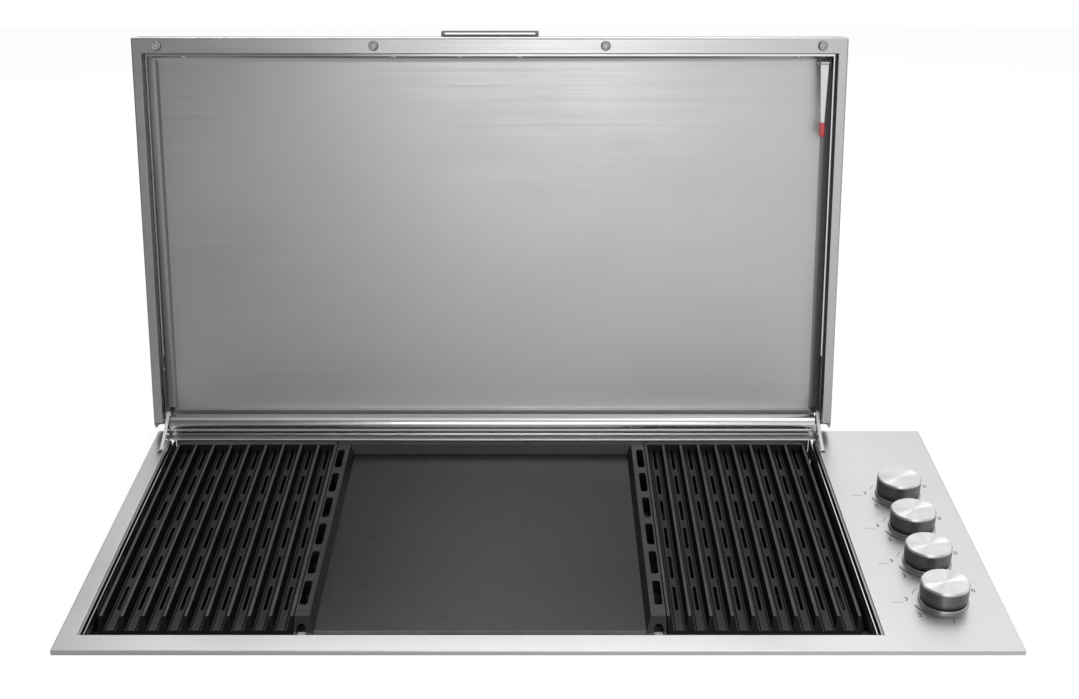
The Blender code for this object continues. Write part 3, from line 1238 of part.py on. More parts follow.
def make_rear_deflector(finish):
    """The rolled guard between the hinge brackets: a curl, a leg and a foot on the fascia."""
    leg_y = Y_BACK - ROLL_LEG_SETBACK - ROLL_SHEET / 2
    centre = (Y_BACK - ROLL_SETBACK - ROLL_SHEET / 2, Z_TOP + ROLL_RISE)
    foot_z = Z_TOP + GAP + ROLL_SHEET / 2
    curl = arc(centre, ROLL_RADIUS, ROLL_FROM_DEG, ROLL_TO_DEG, ROLL_STEPS)
    path = curl + [(leg_y, curl[-1][1] - ROLL_SHEET), (leg_y, foot_z), (leg_y - ROLL_FOOT, foot_z)]
    inset = BRACKET_INSET + BRACKET_THICKNESS / 2 + PIN_HEAD + GAP * 3
    guard = folded_sheet("rear_deflector", finish["brushed"], "X", path, LID_X0 + inset,
                         LID_X1 - inset, ROLL_SHEET)
    shade(guard)


def build():
    """Make every piece."""
    global PARTS, CUTTERS
    clear_scene()
    PARTS = new_collection("built_in_gas_grill")
    CUTTERS = new_collection("cutters")
    finish = make_materials()
    make_fascia(finish)
    make_firebox(finish)
    make_control_housing(finish)
    make_gas_train(finish)
    for index, y in enumerate(burner_places()):
        make_burner(index + 1, y, finish)
        make_flame_tamer(index + 1, y, finish)
    for index, y in enumerate(knob_places()):
        make_valve(index + 1, y, finish)
    make_drip_tray(finish)
    make_cooking_surfaces(finish)
    make_rear_deflector(finish)
    pivot = new_empty("lid_pivot", PIVOT, (-OPEN_ANGLE, 0, 0))
    make_hinges(finish, pivot)
    make_lid_skin(finish, pivot)
    make_lid_liner(finish, pivot)
    make_bumpers(finish, pivot)
    make_handle(finish, pivot)
    make_prop(finish, pivot)


build()
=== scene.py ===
"""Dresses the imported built-in gas grill: finishes, fine forms, studio light and camera."""

import json
import logging
import math
from dataclasses import dataclass, field
from enum import Enum
from typing import Callable, Sequence

import bmesh
import bpy
from mathutils import Matrix, Vector

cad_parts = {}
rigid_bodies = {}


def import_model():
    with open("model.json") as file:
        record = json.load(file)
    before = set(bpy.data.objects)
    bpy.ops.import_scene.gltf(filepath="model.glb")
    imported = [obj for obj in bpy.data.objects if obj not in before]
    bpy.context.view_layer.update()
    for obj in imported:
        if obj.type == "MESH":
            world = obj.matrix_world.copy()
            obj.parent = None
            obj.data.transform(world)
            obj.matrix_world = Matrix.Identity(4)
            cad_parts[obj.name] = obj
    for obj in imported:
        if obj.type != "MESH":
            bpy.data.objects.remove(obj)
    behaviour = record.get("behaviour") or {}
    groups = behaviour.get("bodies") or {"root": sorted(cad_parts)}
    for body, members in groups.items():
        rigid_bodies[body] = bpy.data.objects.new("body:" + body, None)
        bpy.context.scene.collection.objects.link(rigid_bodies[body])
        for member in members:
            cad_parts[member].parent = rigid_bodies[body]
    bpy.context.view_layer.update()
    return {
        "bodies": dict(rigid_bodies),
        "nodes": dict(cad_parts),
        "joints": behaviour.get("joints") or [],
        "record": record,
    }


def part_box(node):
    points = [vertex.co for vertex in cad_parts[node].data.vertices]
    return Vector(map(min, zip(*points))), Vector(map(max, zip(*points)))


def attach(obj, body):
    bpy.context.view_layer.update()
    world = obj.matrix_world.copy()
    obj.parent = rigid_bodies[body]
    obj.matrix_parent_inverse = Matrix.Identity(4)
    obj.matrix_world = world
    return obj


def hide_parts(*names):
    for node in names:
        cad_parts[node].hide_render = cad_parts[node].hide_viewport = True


MM = 0.001
DEG = math.pi / 180
LOG = logging.getLogger("grill")

Point = tuple[float, float]
Place = tuple[float, float, float]
Colour = tuple[float, float, float]
Piece = bpy.types.Object
Socket = bpy.types.NodeSocket
Profile = Sequence[Point]
Element = bmesh.types.BMVert | bmesh.types.BMEdge | bmesh.types.BMFace

# The lid's hinge line and how far it opens; SWING takes the shut lid to where it stands open.
PIVOT = Vector((-61.5 * MM, 492.4 * MM, 29.4 * MM))
OPEN_ANGLE = 101.3 * DEG
SWING = (Matrix.Translation(PIVOT) @ Matrix.Rotation(-OPEN_ANGLE, 4, "X")
         @ Matrix.Translation(-PIVOT))

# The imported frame, filled in by main.
FRAME: dict = {}


class Axis(Enum):
    """A direction of the object."""

    X = Vector((1, 0, 0))
    Y = Vector((0, 1, 0))
    Z = Vector((0, 0, 1))


class Part(Enum):
    """What edit mode selects, by Blender's word, with the name of a mesh's list of it."""

    VERT = "verts"
    EDGE = "edges"
    FACE = "faces"


# ---------------------------------------------------------------- materials


class NodeBench:
    """A node tree, laid with short calls."""

    def __init__(self, tree: bpy.types.NodeTree) -> None:
        """Work on a tree."""
        self.tree = tree

    def add(self, kind: str, **settings: object) -> bpy.types.Node:
        """Add a node and set its properties.

        Args:
            kind: the node's type.
            settings: its properties by name.

        Returns:
            The node.
        """
        node = self.tree.nodes.new(kind)
        for key, value in settings.items():
            setattr(node, key, value)
        return node

    def join(self, source: Socket, target: Socket) -> None:
        """Link two sockets."""
        self.tree.links.new(source, target)

    def feed(self, value: Socket | float, target: Socket) -> None:
        """Link a socket, or set a plain value.

        Args:
            value: the socket or value.
            target: the socket that takes it.
        """
        if isinstance(value, bpy.types.NodeSocket):
            self.join(value, target)
        else:
            target.default_value = value

    def calc(self, operation: str, first: Socket | float, second: Socket | float = 0.0,
             clamp: bool = False) -> Socket:
        """A sum of two values or sockets.

        Args:
            operation: the sum's kind.
            first: one value.
            second: the other.
            clamp: whether the result stays between 0 and 1.

        Returns:
            The result's socket.
        """
        node = self.add("ShaderNodeMath", operation=operation, use_clamp=clamp)
        self.feed(first, node.inputs[0])
        self.feed(second, node.inputs[1])
        return node.outputs[0]

    def spread(self, value: Socket, low: float, high: float, to_low: float,
               to_high: float) -> Socket:
        """A value moved from one range to another, smoothly and clamped.

        Args:
            value: the value.
            low: where its range starts.
            high: where its range ends.
            to_low: the result at the start.
            to_high: the result at the end.

        Returns:
            The result's socket.
        """
        node = self.add("ShaderNodeMapRange", interpolation_type="SMOOTHSTEP")
        self.join(value, node.inputs["Value"])
        for key, number in (("From Min", low), ("From Max", high), ("To Min", to_low),
                            ("To Max", to_high)):
            node.inputs[key].default_value = number
        return node.outputs[0]

    def either(self, factor: Socket, first: Socket | float, second: Socket | float) -> Socket:
        """Two values mixed by a factor.

        Args:
            factor: the second one's share.
            first: one value.
            second: the other.

        Returns:
            The result's socket.
        """
        node = self.add("ShaderNodeMix", data_type="FLOAT")
        self.join(factor, node.inputs["Factor"])
        self.feed(first, node.inputs[2])
        self.feed(second, node.inputs[3])
        return node.outputs[0]


class FinishBench(NodeBench):
    """One material's nodes round its shader."""

    def __init__(self, name: str) -> None:
        """Start a material with a bare shader.

        Args:
            name: the material's name.
        """
        self.material = bpy.data.materials.new(name)
        self.material.use_nodes = True
        super().__init__(self.material.node_tree)
        self.shader = self.tree.nodes["Principled BSDF"]
        self.origin = self.add("ShaderNodeTexCoord").outputs["Object"]

    def set(self, **values: object) -> None:
        """Set plain values on the shader, underscores standing for spaces."""
        for key, value in values.items():
            self.shader.inputs[key.replace("_", " ")].default_value = value

    def mapped(self, scale: Place, centre: Place = (0, 0, 0), turn: Place = (0, 0, 0)) -> Socket:
        """Object coordinates centred on a place, turned and scaled.

        Args:
            scale: repeats a metre along each axis.
            centre: the pattern's own origin.
            turn: turn about each axis, in radians.

        Returns:
            The vector socket.
        """
        shift = self.add("ShaderNodeMapping")
        shift.inputs["Location"].default_value = [-value for value in centre]
        self.join(self.origin, shift.inputs["Vector"])
        place = self.add("ShaderNodeMapping")
        place.inputs["Rotation"].default_value = turn
        place.inputs["Scale"].default_value = scale
        self.join(shift.outputs[0], place.inputs["Vector"])
        return place.outputs[0]

    def noise(self, vector: Socket, detail: float = 2.0, rough: float = 0.5,
              scale: float = 1.0, twist: float = 0.0) -> Socket:
        """A noise value between 0 and 1 over a vector.

        Args:
            vector: the coordinates.
            detail: how many finer layers it has.
            rough: how strong those are.
            scale: repeats a unit.
            twist: how far it is distorted.

        Returns:
            The value's socket.
        """
        node = self.add("ShaderNodeTexNoise")
        self.join(vector, node.inputs["Vector"])
        for key, value in (("Scale", scale), ("Detail", detail), ("Roughness", rough),
                           ("Distortion", twist)):
            node.inputs[key].default_value = value
        return node.outputs["Fac"]

    def cells(self, vector: Socket, feature: str = "F1", output: str = "Distance") -> Socket:
        """A cell pattern's distance or colour.

        Args:
            vector: the coordinates.
            feature: what is measured in a cell.
            output: which output is read.

        Returns:
            That output's socket.
        """
        node = self.add("ShaderNodeTexVoronoi", feature=feature)
        self.join(vector, node.inputs["Vector"])
        node.inputs["Scale"].default_value = 1.0
        return node.outputs[output]

    def tint(self, factor: Socket, *stops: tuple[float, Colour]) -> Socket:
        """A colour ramp.

        Args:
            factor: the value that is read.
            stops: places from 0 to 1, each with its colour.

        Returns:
            The colour socket.
        """
        node = self.add("ShaderNodeValToRGB")
        ramp = node.color_ramp
        while len(ramp.elements) < len(stops):
            ramp.elements.new(0.5)
        for element, (place, colour) in zip(ramp.elements, stops):
            element.position = place
            element.color = (*colour, 1)
        self.join(factor, node.inputs["Fac"])
        return node.outputs["Color"]

    def blend(self, factor: Socket | float, first: Socket | Colour, second: Socket | Colour,
              mode: str = "MIX") -> Socket:
        """Two colours mixed.

        Args:
            factor: the second one's share.
            first: one colour.
            second: the other.
            mode: how they are mixed.

        Returns:
            The colour socket.
        """
        node = self.add("ShaderNodeMix", data_type="RGBA", blend_type=mode)
        for value, slot in ((factor, node.inputs["Factor"]), (first, node.inputs[6]),
                            (second, node.inputs[7])):
            self.feed((*value, 1) if isinstance(value, tuple) else value, slot)
        return node.outputs[2]

    def relief(self, height: Socket, strength: float, distance: float,
               under: Socket | None = None) -> Socket:
        """A bump from a height, over another bump where one is given.

        Args:
            height: the height.
            strength: how much of it shows.
            distance: how high it is, in metres.
            under: the other bump.

        Returns:
            The normal's socket.
        """
        node = self.add("ShaderNodeBump")
        node.inputs["Strength"].default_value = strength
        node.inputs["Distance"].default_value = distance
        self.join(height, node.inputs["Height"])
        if under is not None:
            self.join(under, node.inputs["Normal"])
        return node.outputs[0]

    def coordinate(self, axis: Axis) -> Socket:
        """One coordinate of the object, in metres.

        Args:
            axis: which one.

        Returns:
            Its socket.
        """
        split = self.add("ShaderNodeSeparateXYZ")
        self.join(self.origin, split.inputs[0])
        return split.outputs[axis.name]

    def across_grain(self, axis: Axis) -> None:
        """Turn the shader's gloss so that it spreads across a straight grain.

        Args:
            axis: the way of the grain.
        """
        cross = self.add("ShaderNodeVectorMath", operation="CROSS_PRODUCT")
        self.join(self.add("ShaderNodeNewGeometry").outputs["Normal"], cross.inputs[0])
        cross.inputs[1].default_value = axis.value
        self.join(cross.outputs[0], self.shader.inputs["Tangent"])

    def finish(self, colour: Socket | None = None, rough: Socket | None = None,
               normal: Socket | None = None) -> bpy.types.Material:
        """Join what varies to the shader.

        Args:
            colour: the base colour.
            rough: the roughness.
            normal: the bump.

        Returns:
            The finished material.
        """
        for source, key in ((colour, "Base Color"), (rough, "Roughness"), (normal, "Normal")):
            if source is not None:
                self.join(source, self.shader.inputs[key])
        return self.material


def shaded(colour: Colour, factor: float) -> Colour:
    """A colour made lighter or darker."""
    return tuple(min(1.0, channel * factor) for channel in colour)


def stretched(axis: Axis, along: float, across: float) -> Place:
    """Pattern scale for a grain that runs along an axis."""
    return tuple(along if part else across for part in axis.value)


@dataclass(frozen=True)
class BrushedMetal:
    """Sheet steel with a straight brushed grain, faint smears and small scratches."""

    name: str
    colour: Colour
    roughness: float
    grain: Axis = Axis.X
    contrast: float = 0.06
    depth: float = 0.5
    anisotropy: float = 0.35
    wave: float = 0.02

    def make(self) -> bpy.types.Material:
        """Build the material.

        Returns:
            The material.
        """
        bench = FinishBench(self.name)
        fine = bench.noise(bench.mapped(stretched(self.grain, 9, 2600)), 3, 0.6)
        broad = bench.noise(bench.mapped(stretched(self.grain, 2.2, 330)), 2, 0.6)
        smear = bench.noise(bench.mapped((5, 7, 7)), 3, 0.55)
        scratch = bench.noise(bench.mapped(stretched(self.grain, 26, 900)), 1, 0.4)
        grain = bench.calc("ADD", bench.calc("MULTIPLY", fine, 0.55),
                           bench.calc("MULTIPLY", broad, 0.45))
        smudge = bench.calc("MULTIPLY", bench.calc("SUBTRACT", smear, 0.5), 0.5)
        tone = bench.calc("ADD", grain, smudge)
        colour = bench.tint(tone, (0.25, shaded(self.colour, 1 - self.contrast)),
                            (0.5, self.colour), (0.75, shaded(self.colour, 1 + self.contrast)))
        marks = bench.spread(scratch, 0.66, 0.74, 0.0, 0.05)
        rough = bench.calc("ADD", bench.spread(tone, 0.3, 0.7, self.roughness - 0.05,
                                               self.roughness + 0.05), marks)
        normal = bench.relief(fine, self.depth * 0.12, 0.2 * MM,
                              bench.relief(smear, self.wave, 1.2 * MM))
        bench.set(Metallic=1.0, Anisotropic=self.anisotropy)
        bench.across_grain(self.grain)
        return bench.finish(colour, rough, normal)


@dataclass(frozen=True)
class CastEnamel:
    """Cast-iron enamel with orange peel; painted shade on sides, painted light on level and high
    faces.
    """

    name: str
    colour: Colour
    flat_light: Colour
    top_highlight: Colour
    roughness: float
    high: float
    low: float
    index: float = 1.5
    centre_highlight: Colour | None = None
    patches: float = 0.055
    highlight_centre: Place = (-63.0 * MM, 140.0 * MM, 0.0)

    def make(self) -> bpy.types.Material:
        """Build the material.

        Returns:
            The material.
        """
        bench = FinishBench(self.name)
        peel = bench.noise(bench.mapped((420, 420, 420)), 2, 0.5)
        grit = bench.noise(bench.mapped((1900, 1900, 1900)), 2, 0.6)
        mottle = bench.noise(bench.mapped((38, 38, 38)), 4, 0.6, twist=0.4)
        # Painted light: faces grow lighter the higher they stand and the more they face up, as if
        # lit from above; the rest keeps a near-black colour as painted shade.
        height = bench.spread(bench.coordinate(Axis.Z), self.low, self.high, 0.0, 1.0)
        top_light_share = bench.calc("MULTIPLY", height, bench.spread(mottle, 0.35, 0.7, 0.55, 1.0))
        slope = bench.add("ShaderNodeSeparateXYZ")
        bench.join(bench.add("ShaderNodeNewGeometry").outputs["Normal"], slope.inputs[0])
        level = bench.spread(slope.outputs["Z"], 0.72, 0.97, 0.0, 1.0)
        base = bench.tint(mottle, (0.3, shaded(self.colour, 0.8)),
                          (0.7, shaded(self.colour, 1.25)))
        flat_lit = bench.tint(mottle, (0.3, shaded(self.flat_light, 0.85)),
                           (0.7, shaded(self.flat_light, 1.15)))
        # Painted highlight: level faces grow lighter towards a centre.
        if self.centre_highlight:
            far = bench.add("ShaderNodeVectorMath", operation="LENGTH")
            bench.join(bench.mapped((4.5, 2.4, 0), self.highlight_centre), far.inputs[0])
            flat_lit = bench.blend(bench.spread(far.outputs["Value"], 0.0, 1.0, 1.0, 0.0), flat_lit,
                                self.centre_highlight)
        lit_colour = bench.blend(top_light_share, flat_lit, self.top_highlight)
        colour = bench.blend(level, base, lit_colour)
        rough = bench.calc("ADD", bench.spread(mottle, 0.3, 0.7, self.roughness - self.patches,
                                               self.roughness + self.patches),
                           bench.calc("MULTIPLY", grit, 0.05))
        normal = bench.relief(grit, 0.12, 0.12 * MM, bench.relief(peel, 0.22, 0.25 * MM))
        bench.set(Metallic=0.0, IOR=self.index)
        return bench.finish(colour, rough, normal)


@dataclass(frozen=True)
class ZincSheet:
    """Galvanised sheet with its spangle, dulled by heat, darkened low in the box as painted shade
    and soot.
    """

    name: str
    colour: Colour
    roughness: float = 0.42
    soot_and_shade: float = 0.0

    def make(self) -> bpy.types.Material:
        """Build the material.

        Returns:
            The material.
        """
        bench = FinishBench(self.name)
        wander = bench.mapped((110, 110, 110))
        spangle = bench.cells(wander, output="Color")
        grey = bench.add("ShaderNodeRGBToBW")
        bench.join(spangle, grey.inputs[0])
        edge = bench.cells(wander, feature="DISTANCE_TO_EDGE")
        dull = bench.noise(bench.mapped((14, 14, 14)), 4, 0.6)
        tone = bench.calc("ADD", bench.calc("MULTIPLY", grey.outputs[0], 0.6),
                          bench.calc("MULTIPLY", dull, 0.4))
        colour = bench.tint(tone, (0.2, shaded(self.colour, 0.82)), (0.55, self.colour),
                            (0.85, shaded(self.colour, 1.2)))
        rough = bench.spread(tone, 0.2, 0.8, self.roughness - 0.1, self.roughness + 0.12)
        normal = bench.relief(edge, 0.08, 0.3 * MM, bench.relief(dull, 0.05, 0.8 * MM))
        # Painted shade and soot: the sheet darkens towards near black the deeper it lies in the
        # box.
        if self.soot_and_shade:
            deep = bench.spread(bench.coordinate(Axis.Z), -2 * MM, -12 * MM, 0.0, self.soot_and_shade)
            patchy = bench.calc("MULTIPLY", deep, bench.spread(dull, 0.25, 0.6, 0.85, 1.0))
            colour = bench.blend(patchy, colour, (0.03, 0.028, 0.027))
        bench.set(Metallic=1.0)
        return bench.finish(colour, rough, normal)


@dataclass(frozen=True)
class HeatTintedSteel:
    """Burner steel that has been hot: straw and blue tints, mill grain, soot in patches dark
    enough to stand for shade.
    """

    name: str
    colour: Colour
    roughness: float = 0.45
    soot_and_shade: float = 0.8

    def make(self) -> bpy.types.Material:
        """Build the material.

        Returns:
            The material.
        """
        bench = FinishBench(self.name)
        heat = bench.noise(bench.mapped((5, 22, 22)), 3, 0.5, twist=0.8)
        grain = bench.noise(bench.mapped((20, 900, 900)), 2, 0.6)
        soot_and_shade = bench.noise(bench.mapped((60, 60, 60)), 5, 0.65)
        straw = tuple(a * b for a, b in zip(self.colour, (1.0, 0.84, 0.62)))
        blue = tuple(a * b for a, b in zip(self.colour, (0.62, 0.68, 0.86)))
        tinted = bench.tint(heat, (0.3, self.colour), (0.46, straw), (0.56, blue),
                            (0.72, self.colour))
        # Soot in patches, dark enough to stand for the shade under the grills too.
        share = bench.spread(soot_and_shade, 0.3, 0.7, self.soot_and_shade - 0.1, self.soot_and_shade + 0.1)
        colour = bench.blend(share, tinted, (0.02, 0.018, 0.017))
        rough = bench.spread(soot_and_shade, 0.35, 0.7, self.roughness - 0.06, self.roughness + 0.25)
        normal = bench.relief(grain, 0.08, 0.2 * MM, bench.relief(soot_and_shade, 0.06, 0.4 * MM))
        bench.set(Metallic=1.0)
        return bench.finish(colour, rough, normal)


@dataclass(frozen=True)
class TurnedMetal:
    """Metal faced on a lathe: rings round the knob's axis, read from its own UV map."""

    name: str
    colour: Colour
    roughness: float
    rings: float = 1500.0
    anisotropy: float = 0.75

    def make(self) -> bpy.types.Material:
        """Build the material.

        Returns:
            The material.
        """
        bench = FinishBench(self.name)
        uv = bench.add("ShaderNodeUVMap", uv_map="turn")
        split = bench.add("ShaderNodeSeparateXYZ")
        bench.join(uv.outputs[0], split.inputs[0])
        radius = bench.add("ShaderNodeCombineXYZ")
        bench.join(split.outputs["X"], radius.inputs["X"])
        bench.join(bench.calc("MULTIPLY", split.outputs["Y"], 0.0006), radius.inputs["Y"])
        rings = bench.noise(radius.outputs[0], 3, 0.7, scale=self.rings)
        smear = bench.noise(bench.mapped((60, 60, 60)), 3, 0.5)
        colour = bench.tint(rings, (0.3, shaded(self.colour, 0.9)), (0.5, self.colour),
                            (0.72, shaded(self.colour, 1.1)))
        rough = bench.spread(smear, 0.3, 0.7, self.roughness - 0.03, self.roughness + 0.05)
        normal = bench.relief(rings, 0.1, 0.12 * MM)
        tangent = bench.add("ShaderNodeTangent", direction_type="UV_MAP", uv_map="turn")
        bench.join(tangent.outputs[0], bench.shader.inputs["Tangent"])
        bench.set(Metallic=1.0, Anisotropic=self.anisotropy)
        return bench.finish(colour, rough, normal)


@dataclass(frozen=True)
class MouldedPlastic:
    """A moulded skin: fine texture, faint dust and a soft gloss."""

    name: str
    colour: Colour
    roughness: float
    texture: float = 900.0
    depth: float = 0.15
    metal: float = 0.0

    def make(self) -> bpy.types.Material:
        """Build the material.

        Returns:
            The material.
        """
        bench = FinishBench(self.name)
        pores = bench.noise(bench.mapped((self.texture,) * 3), 3, 0.6)
        dust = bench.noise(bench.mapped((55, 55, 55)), 4, 0.6)
        colour = bench.tint(dust, (0.3, shaded(self.colour, 0.85)), (0.5, self.colour),
                            (0.75, shaded(self.colour, 1.2)))
        rough = bench.calc("ADD", bench.spread(dust, 0.3, 0.7, self.roughness - 0.06,
                                               self.roughness + 0.06),
                           bench.calc("MULTIPLY", pores, 0.04))
        normal = bench.relief(pores, self.depth, 0.12 * MM)
        bench.set(Metallic=self.metal, IOR=1.46)
        return bench.finish(colour, rough, normal)


class Finish(Enum):
    """Every finish of the grill, with its recipe."""

    FASCIA_STEEL = BrushedMetal("fascia_steel", (0.80, 0.80, 0.805), 0.36, contrast=0.045,
                                depth=0.3)
    RIM_STEEL = BrushedMetal("rim_steel", (0.59, 0.59, 0.595), 0.34, contrast=0.03, depth=0.3,
                             wave=0.004)
    LINER_STEEL = BrushedMetal("liner_steel", (0.605, 0.605, 0.613), 0.38, contrast=0.015,
                               depth=0.2, wave=0.004)
    # A darker copy of the liner steel, painted shade for the pan's side walls.
    LINER_SIDE = BrushedMetal("liner_side", (0.29, 0.29, 0.295), 0.44, contrast=0.015, depth=0.2,
                              wave=0.004)
    STEP_STEEL = BrushedMetal("step_steel", (0.42, 0.42, 0.425), 0.30, Axis.Y, contrast=0.03)
    BACK_STEEL = BrushedMetal("back_steel", (0.62, 0.62, 0.625), 0.34, contrast=0.04, wave=0.006)
    GUARD_STEEL = BrushedMetal("guard_steel", (0.74, 0.74, 0.745), 0.17, contrast=0.03,
                               depth=0.15, wave=0.002)
    POLISHED_STEEL = BrushedMetal("polished_steel", (0.84, 0.84, 0.845), 0.11, contrast=0.03,
                                  depth=0.1, anisotropy=0.1, wave=0.003)
    # Dark steel for the handle, also used on the prop's bracket as painted shade.
    HANDLE_STEEL = BrushedMetal("handle_steel", (0.12, 0.12, 0.122), 0.26, contrast=0.04,
                                depth=0.15, wave=0.004)
    SCREW_STEEL = BrushedMetal("screw_steel", (0.72, 0.72, 0.72), 0.22, contrast=0.05, depth=0.2,
                               anisotropy=0.0)
    # Enamel colours in order: sides (near black, painted shade), then level faces and high ones
    # (lighter, painted light from above).
    CAST_ENAMEL = CastEnamel("cast_enamel", (0.004, 0.004, 0.0043), (0.050, 0.050, 0.0515),
                             (0.115, 0.115, 0.118), 0.38, 4.45 * MM, 3.2 * MM, 1.26)
    # A lighter enamel, a painted highlight for edge faces.
    CAST_EDGE = CastEnamel("cast_edge", (0.11, 0.11, 0.113), (0.14, 0.14, 0.143),
                           (0.16, 0.16, 0.163), 0.36, 4.45 * MM, 3.2 * MM, 1.4)
    # The griddle's last colour is a painted highlight round its centre.
    GRIDDLE_ENAMEL = CastEnamel("griddle_enamel", (0.012, 0.012, 0.0125), (0.024, 0.024, 0.0252),
                                (0.05, 0.05, 0.052), 0.27, 4.45 * MM, 1.0 * MM, 1.55,
                                (0.074, 0.074, 0.076), patches=0.018)
    ZINC_SHEET = ZincSheet("zinc_sheet", (0.40, 0.41, 0.42))
    # Firebox zinc darkened deep in the box: painted shade and soot.
    SOOTED_ZINC = ZincSheet("sooted_zinc", (0.40, 0.41, 0.42), soot_and_shade=0.93)
    BURNER_STEEL = HeatTintedSteel("burner_steel", (0.40, 0.38, 0.36))
    KNOB_FACE = TurnedMetal("knob_face", (0.90, 0.90, 0.905), 0.34, 1500.0, 0.92)
    KNOB_FLANK = TurnedMetal("knob_flank", (0.23, 0.23, 0.235), 0.42, 900.0, 0.3)
    BEZEL_RING = TurnedMetal("bezel_ring", (0.50, 0.50, 0.505), 0.32, 1500.0, 0.6)
    BRASS = BrushedMetal("brass", (0.66, 0.47, 0.20), 0.3, Axis.Z, 0.08, 0.4, 0.0)
    # Near-white paint, a painted highlight for the hinge brackets' sloping faces and the griddle's
    # rests.
    BRIGHT_EDGE = MouldedPlastic("bright_edge", (0.96, 0.96, 0.96), 0.3, depth=0.05)
    PAD_RUBBER = MouldedPlastic("pad_rubber", (0.52, 0.52, 0.52), 0.4, 700, 0.1, metal=0.8)
    RED_SLEEVE = MouldedPlastic("red_sleeve", (0.80, 0.125, 0.13), 0.45, 1200, 0.1)
    BLACK_PLASTIC = MouldedPlastic("black_plastic", (0.015, 0.015, 0.016), 0.42)
    PANEL_INK = MouldedPlastic("panel_ink", (0.03, 0.03, 0.031), 0.5, 2000, 0.05)


class Finishes:
    """Every finish of the grill, made once."""

    def __init__(self) -> None:
        """Make the materials."""
        self.made = {finish: finish.value.make() for finish in Finish}

    def dress(self, piece: Piece, finish: Finish) -> Piece:
        """Give a piece one finish all over.

        Args:
            piece: the piece.
            finish: the finish.

        Returns:
            The piece.
        """
        piece.data.materials.clear()
        piece.data.materials.append(self.made[finish])
        return piece

    def paint(self, piece: Piece, finish: Finish,
              test: Callable[[bpy.types.MeshPolygon], bool]) -> None:
        """Give the faces of a dressed piece that pass a test a finish of their own.

        Args:
            piece: the piece.
            finish: the finish, which gets the next slot.
            test: what a face has to be.
        """
        piece.data.materials.append(self.made[finish])
        slot = len(piece.data.materials) - 1
        for face in piece.data.polygons:
            if test(face):
                face.material_index = slot

    def carry(self, node: str, finish: Finish) -> None:
        """Give a carried-over node its finish through its object's slots.

        Args:
            node: the node.
            finish: the finish.
        """
        piece = FRAME["nodes"][node]
        for slot in piece.material_slots:
            slot.link = "OBJECT"
            slot.material = self.made[finish]


# ---------------------------------------------------------------- modelling


def clear_selection() -> None:
    """Leave edit mode and deselect every object."""
    if bpy.context.object and bpy.context.object.mode == "EDIT":
        bpy.ops.object.mode_set(mode="OBJECT")
    bpy.ops.object.select_all(action="DESELECT")


def take(piece: Piece) -> Piece:
    """Make one object the only selected and active one.

    Args:
        piece: the object.

    Returns:
        The object.
    """
    clear_selection()
    piece.select_set(True)
    bpy.context.view_layer.objects.active = piece
    return piece


def edit(piece: Piece, part: Part = Part.FACE, everything: bool = False) -> None:
    """Open a piece in edit mode with nothing, or everything, selected.

    Args:
        piece: the piece.
        part: what is going to be selected.
        everything: whether all of it is selected.
    """
    take(piece)
    bpy.ops.object.mode_set(mode="EDIT")
    bpy.ops.mesh.select_mode(type=part.name)
    bpy.ops.mesh.select_all(action="SELECT" if everything else "DESELECT")


def pick(piece: Piece, part: Part, test: Callable[[Element], bool]) -> None:
    """Select what passes a test on a piece in edit mode.

    Args:
        piece: the piece, open in edit mode.
        part: whether its corners, edges or faces are tested.
        test: what one has to be.
    """
    mesh = bmesh.from_edit_mesh(piece.data)
    for element in getattr(mesh, part.value):
        element.select_set(bool(test(element)))
    if part is Part.FACE:
        mesh.select_flush_mode()
    bmesh.update_edit_mesh(piece.data)


def leave(piece: Piece) -> Piece:
    """Close edit mode."""
    bpy.ops.object.mode_set(mode="OBJECT")
    return piece


def bake_place(piece: Piece, name: str) -> Piece:
    """Name a piece and put its place into its mesh.

    Args:
        piece: the piece.
        name: its name.

    Returns:
        The piece, with its object at the origin.
    """
    piece.name = piece.data.name = name
    take(piece)
    bpy.ops.object.transform_apply(location=True, rotation=True, scale=True)
    return piece


def add_cube(name: str, low: Place, high: Place) -> Piece:
    """A block between two corners, as a start.

    Args:
        name: its name.
        low: the lower corner.
        high: the upper corner.

    Returns:
        The block.
    """
    clear_selection()
    centre = [(a + b) / 2 for a, b in zip(low, high)]
    bpy.ops.mesh.primitive_cube_add(size=1, location=centre)
    piece = bpy.context.object
    piece.scale = [b - a for a, b in zip(low, high)]
    return bake_place(piece, name)


def add_disc(name: str, centre: Place, radius: float, depth: float, sides: int = 48,
             axis: Axis = Axis.Z) -> Piece:
    """A round block along an axis, as a start.

    Args:
        name: its name.
        centre: its middle.
        radius: its radius.
        depth: its length.
        sides: how many sides it has.
        axis: the way it lies.

    Returns:
        The block.
    """
    clear_selection()
    turn = axis.value.to_track_quat("Z", "Y").to_euler()
    bpy.ops.mesh.primitive_cylinder_add(vertices=sides, radius=radius, depth=depth,
                                        location=centre, rotation=turn)
    return bake_place(bpy.context.object, name)


def apply_modifier(piece: Piece, kind: str, **settings: object) -> Piece:
    """Add a modifier, set it and apply it.

    Args:
        piece: the piece.
        kind: the modifier's type.
        settings: its properties by name.

    Returns:
        The piece.
    """
    take(piece)
    step = piece.modifiers.new(kind.lower(), kind)
    for key, value in settings.items():
        setattr(step, key, value)
    bpy.ops.object.modifier_apply(modifier=step.name)
    return piece


